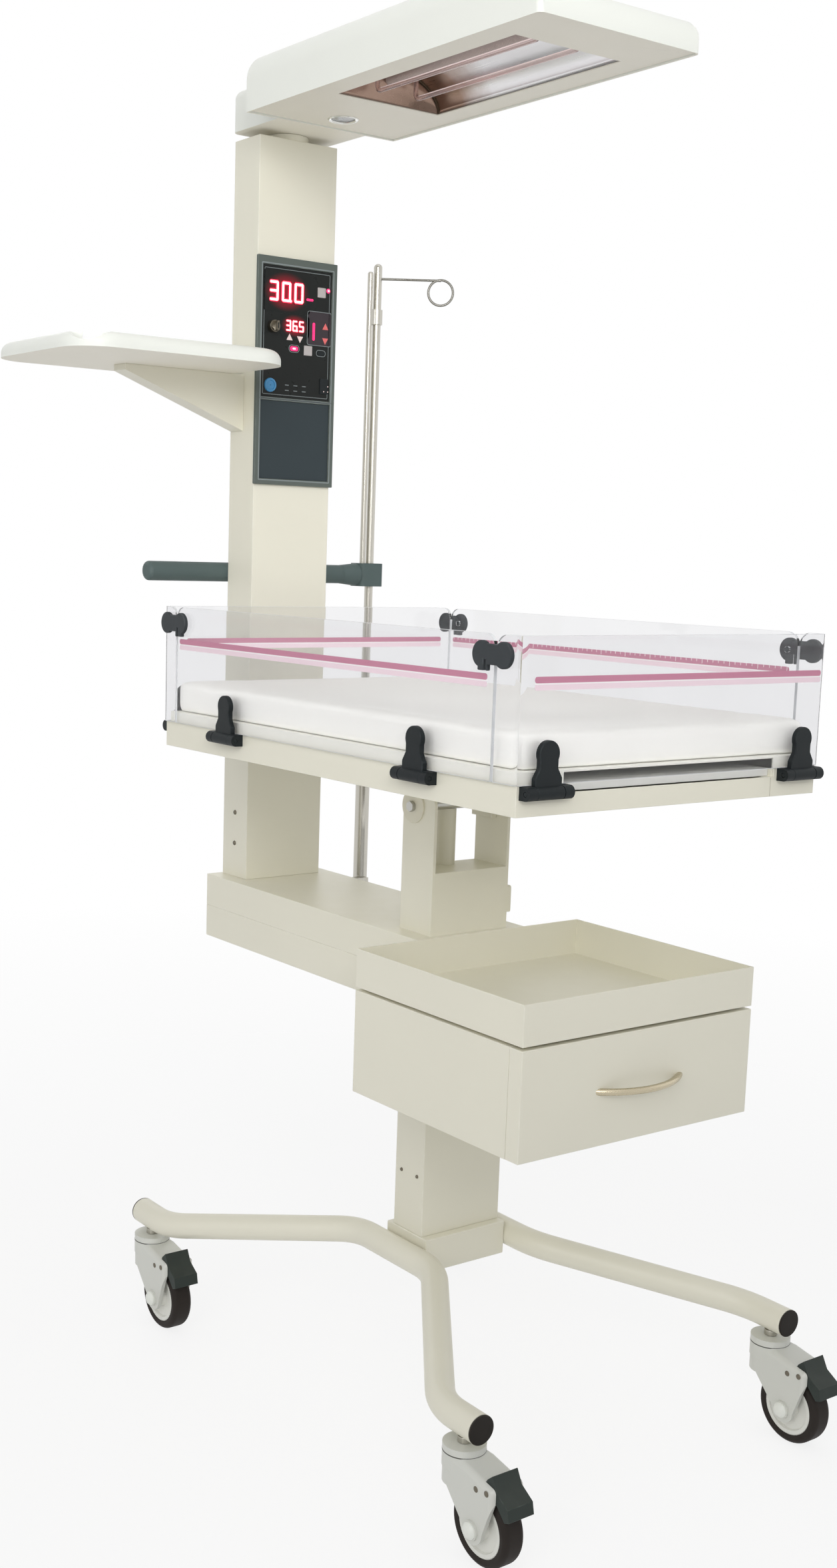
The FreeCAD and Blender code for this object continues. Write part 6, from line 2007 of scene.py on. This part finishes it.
@dataclass
class Fittings:
    """The push bar, the hook pole with its supports, and the shelf on its gusset."""

    bar_round: float = 1.0 * MM
    bar_end: float = -205 * MM
    bar_end_round: float = 6 * MM
    clamp_start: float = 191 * MM
    clamp_core: float = 9 * MM
    clamp_face: float = 1 * MM
    clamp_round: float = 4.5 * MM
    flare: tuple[Pair, ...] = (
        (15.4 * MM, 160 * MM), (16.2 * MM, 168 * MM), (18.4 * MM, 188 * MM), (18.4 * MM, 193 * MM),
        (15.4 * MM, 193 * MM),
    )
    pole_cap: float = 1655 * MM
    pole_axis: Pair = (222 * MM, 540.8 * MM)
    pole_reach: float = 9 * MM
    hook_span: Pair = (1560 * MM, 1650 * MM)
    pole_round: float = 5.0 * MM
    stay_cap: float = 1640 * MM
    stay_cap_round: float = 3.4 * MM
    stay_round: float = 0.6 * MM
    shelf_round: float = 1.5 * MM
    bracket_round: float = 0.8 * MM

    def build(self) -> None:
        """Dress the bars and the shelf."""
        self.push_bar()
        self.clamp_flare()
        cap = (self.stay_cap_round, 4, lambda co: co.z > self.stay_cap)
        dress_node("pole_supports", STEEL, self.stay_round, first=cap)
        self.hook_pole()
        # The shelf's downward faces take a warm beige of painted bounce light.
        dress_split("shelf_tray", WHITE_SHELL, UNDERSIDE_BOUNCE, self.shelf_round, looks_down("shelf_tray"))
        dress_node("shelf_bracket", CREAM, self.bracket_round)

    def push_bar(self) -> None:
        """The push bar with its rounded end, and the pole clamp with its soft outline."""
        middle = middle_of("push_handle")
        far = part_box("push_handle")[1][0]

        def in_outline(co: Vector) -> bool:
            """Whether a corner lies on the clamp's outline."""
            outer = abs(co.y - middle.y) > self.clamp_core or co.x > far - self.clamp_face
            return co.x > self.clamp_start and outer

        bar = Form.of_node("push_handle")
        bar.soften(self.bar_end_round, segments=5, wanted=lambda co: co.x < self.bar_end)
        bar.soften(self.clamp_round, segments=4, wanted=in_outline)
        bar.soften(self.bar_round)
        bar.piece("push_handle_dressed", BAR_GREY, "stand", ["push_handle"], slot_of("push_handle"))

    def hook_pole(self) -> None:
        """The steel pole with its domed top, and the hook in a darker wire."""
        axis = Vector(self.pole_axis)
        pole = Form.of_node("iv_pole").keep(lambda co: (co.xy - axis).length < self.pole_reach)
        pole.soften(self.pole_round, segments=5, wanted=lambda co: co.z > self.pole_cap)
        pole.piece("iv_pole_dressed", STEEL, "hook_pole", ["iv_pole"], slot_of("iv_pole"))
        low, high = self.hook_span
        hook = Form.of_node("iv_pole").keep(lambda co: low < co.z < high)
        hook.piece("iv_hook", HOOK_STEEL, "hook_pole", ["iv_pole"], slot_of("iv_pole"))

    def clamp_flare(self) -> None:
        """The sleeve on the push bar that widens towards the pole's clamp."""
        middle = middle_of("push_handle")
        place = Facing.RIGHT.at((0, middle.y, middle.z))
        form = Form().lathe(place, self.flare, closed=True)
        form.piece("clamp_sleeve", BAR_GREY, "stand", slot=slot_of("push_handle"))


@dataclass(frozen=True)
class Softbox:
    """A square soft lamp: place, what it looks at, watts, side length and spread in degrees."""

    name: str
    place: Point
    aim: Point
    power: float
    size: float
    spread: float = 180.0

    def build(self) -> None:
        """Add the lamp to the scene."""
        light = bpy.data.lights.new(self.name, "AREA")
        light.energy = self.power
        light.size = self.size
        light.spread = math.radians(self.spread)
        lamp = bpy.data.objects.new(self.name, light)
        look = Vector(self.aim) - Vector(self.place)
        turn = look.to_track_quat("-Z", "Y").to_matrix().to_4x4()
        lamp.matrix_world = Matrix.Translation(self.place) @ turn
        bpy.context.scene.collection.objects.link(lamp)


@dataclass
class Studio:
    """The camera at the photograph's angle, a pale floor and soft lamps."""

    frame_width: int = 1257
    frame_height: int = 2355
    focal_pixels: float = 2625.26
    axis_pixel: Pair = (522.47, 1241.34)
    camera_place: Point = (-1.55716, -1.88379, 1.18835)
    azimuth: float = -35.824
    elevation: float = 8.942
    roll: float = 1.6465
    sensor: float = 36.0
    world_level: float = 0.5
    floor_size: float = 8.0
    floor_clear: float = 1.0
    floor_end: float = 3.4
    floor_glow: float = 0.82
    floor_colour: Colour = srgb(250, 250, 250)
    lamps: tuple[Softbox, ...] = (
        Softbox("key", (-3.6, -1.6, 2.1), (0.0, 0.0, 1.0), 30.0, 2.0),
        Softbox("high_front", (-2.6, -2.6, 3.6), (0.0, 0.0, 1.2), 13.0, 2.0),
        Softbox("upper_front", (-1.6, -2.8, 2.4), (0.0, 0.2, 1.5), 3.9, 1.2, 46.0),
        Softbox("top", (0.0, -0.6, 4.4), (0.0, 0.0, 1.0), 9.0, 2.6),
        Softbox("right_fill", (3.0, -1.2, 2.0), (0.0, 0.0, 1.0), 5.0, 2.6),
        Softbox("back", (1.5, 3.6, 2.4), (0.0, 0.0, 1.0), 12.0, 2.4),
    )

    def build(self) -> None:
        """Set up the view, the lamps, the background and the floor."""
        scene = bpy.context.scene
        scene.view_settings.view_transform = "Standard"
        scene.camera = self.camera()
        for lamp in self.lamps:
            lamp.build()
        self.background(scene)
        self.floor()

    def camera(self) -> bpy.types.Object:
        """The photograph's camera, from its pixel focal length and axis.

        Returns:
            The camera's object.
        """
        turn, tip, lean = (math.radians(angle) for angle in (self.azimuth, self.elevation, self.roll))
        back = Vector((math.sin(turn) * math.cos(tip), -math.cos(turn) * math.cos(tip), math.sin(tip)))
        right = Vector((0, 0, 1)).cross(back).normalized()
        up = back.cross(right)
        across = right * math.cos(lean) + up * math.sin(lean)
        upward = up * math.cos(lean) - right * math.sin(lean)
        lens = bpy.data.cameras.new("photo_camera")
        lens.sensor_width = self.sensor
        lens.lens = self.focal_pixels * self.sensor / self.frame_height
        lens.shift_x = (self.frame_width / 2 - self.axis_pixel[0]) / self.frame_height
        lens.shift_y = (self.axis_pixel[1] - self.frame_height / 2) / self.frame_height
        camera = bpy.data.objects.new("photo_camera", lens)
        columns = Matrix((across, upward, back)).transposed().to_4x4()
        camera.matrix_world = Matrix.Translation(self.camera_place) @ columns
        bpy.context.scene.collection.objects.link(camera)
        return camera

    def background(self, scene: bpy.types.Scene) -> None:
        """A world that looks white, and lights the object more softly than that.

        Args:
            scene: The scene that gets the world.
        """
        world = bpy.data.worlds.new("studio")
        world.use_nodes = True
        world.node_tree.nodes.clear()
        scene.world = world
        graph = Graph(world.node_tree)
        light = graph.add("Background", {"Color": WHITE, "Strength": self.world_level})
        shown = graph.add("Background", {"Color": WHITE, "Strength": 1.0})
        mixed = graph.blend(graph.seen(), light, shown)
        graph.add("OutputWorld", {"Surface": mixed.outputs[0]})

    def floor(self) -> None:
        """A wide pale floor that keeps the object's shadow and fades into the background."""
        mesh = bpy.data.meshes.new("studio_floor")
        form = Form()
        bmesh.ops.create_grid(form.bm, x_segments=4, y_segments=4, size=self.floor_size)
        form.bm.to_mesh(mesh)
        form.bm.free()
        material = bpy.data.materials.new("pale_floor")
        material.use_nodes = True
        material.node_tree.nodes.clear()
        mesh.materials.append(material)
        self.floor_surface(Graph(material.node_tree))
        floor = bpy.data.objects.new("studio_floor", mesh)
        bpy.context.scene.collection.objects.link(floor)

    def floor_surface(self, graph: Graph) -> None:
        """A matt white that is near the background's white, and gone further out.

        Args:
            graph: The floor material's nodes.
        """
        matt = graph.add("BsdfDiffuse", {"Color": opaque(self.floor_colour)})
        white = graph.add("Emission", {"Color": WHITE, "Strength": 1.0})
        near = graph.blend(graph.math("MULTIPLY", graph.seen(), self.floor_glow), matt, white)
        reach = graph.add("VectorMath", {0: graph.place()}, operation="LENGTH").outputs["Value"]
        fade = graph.share(reach, self.floor_clear, self.floor_end)
        graph.finish(graph.blend(fade, near, graph.add("BsdfTransparent")))


def main() -> None:
    """Build the sub-assemblies in order, then the studio round them."""
    logging.basicConfig(level=logging.INFO, format="%(message)s")
    for assembly in (
        Undercarriage(), Chassis(), DrawerUnit(), Bed(), ControlPanel(), HeaterHead(), Fittings(),
        Studio(),
    ):
        assembly.build()


if __name__ == "__main__":
    main()
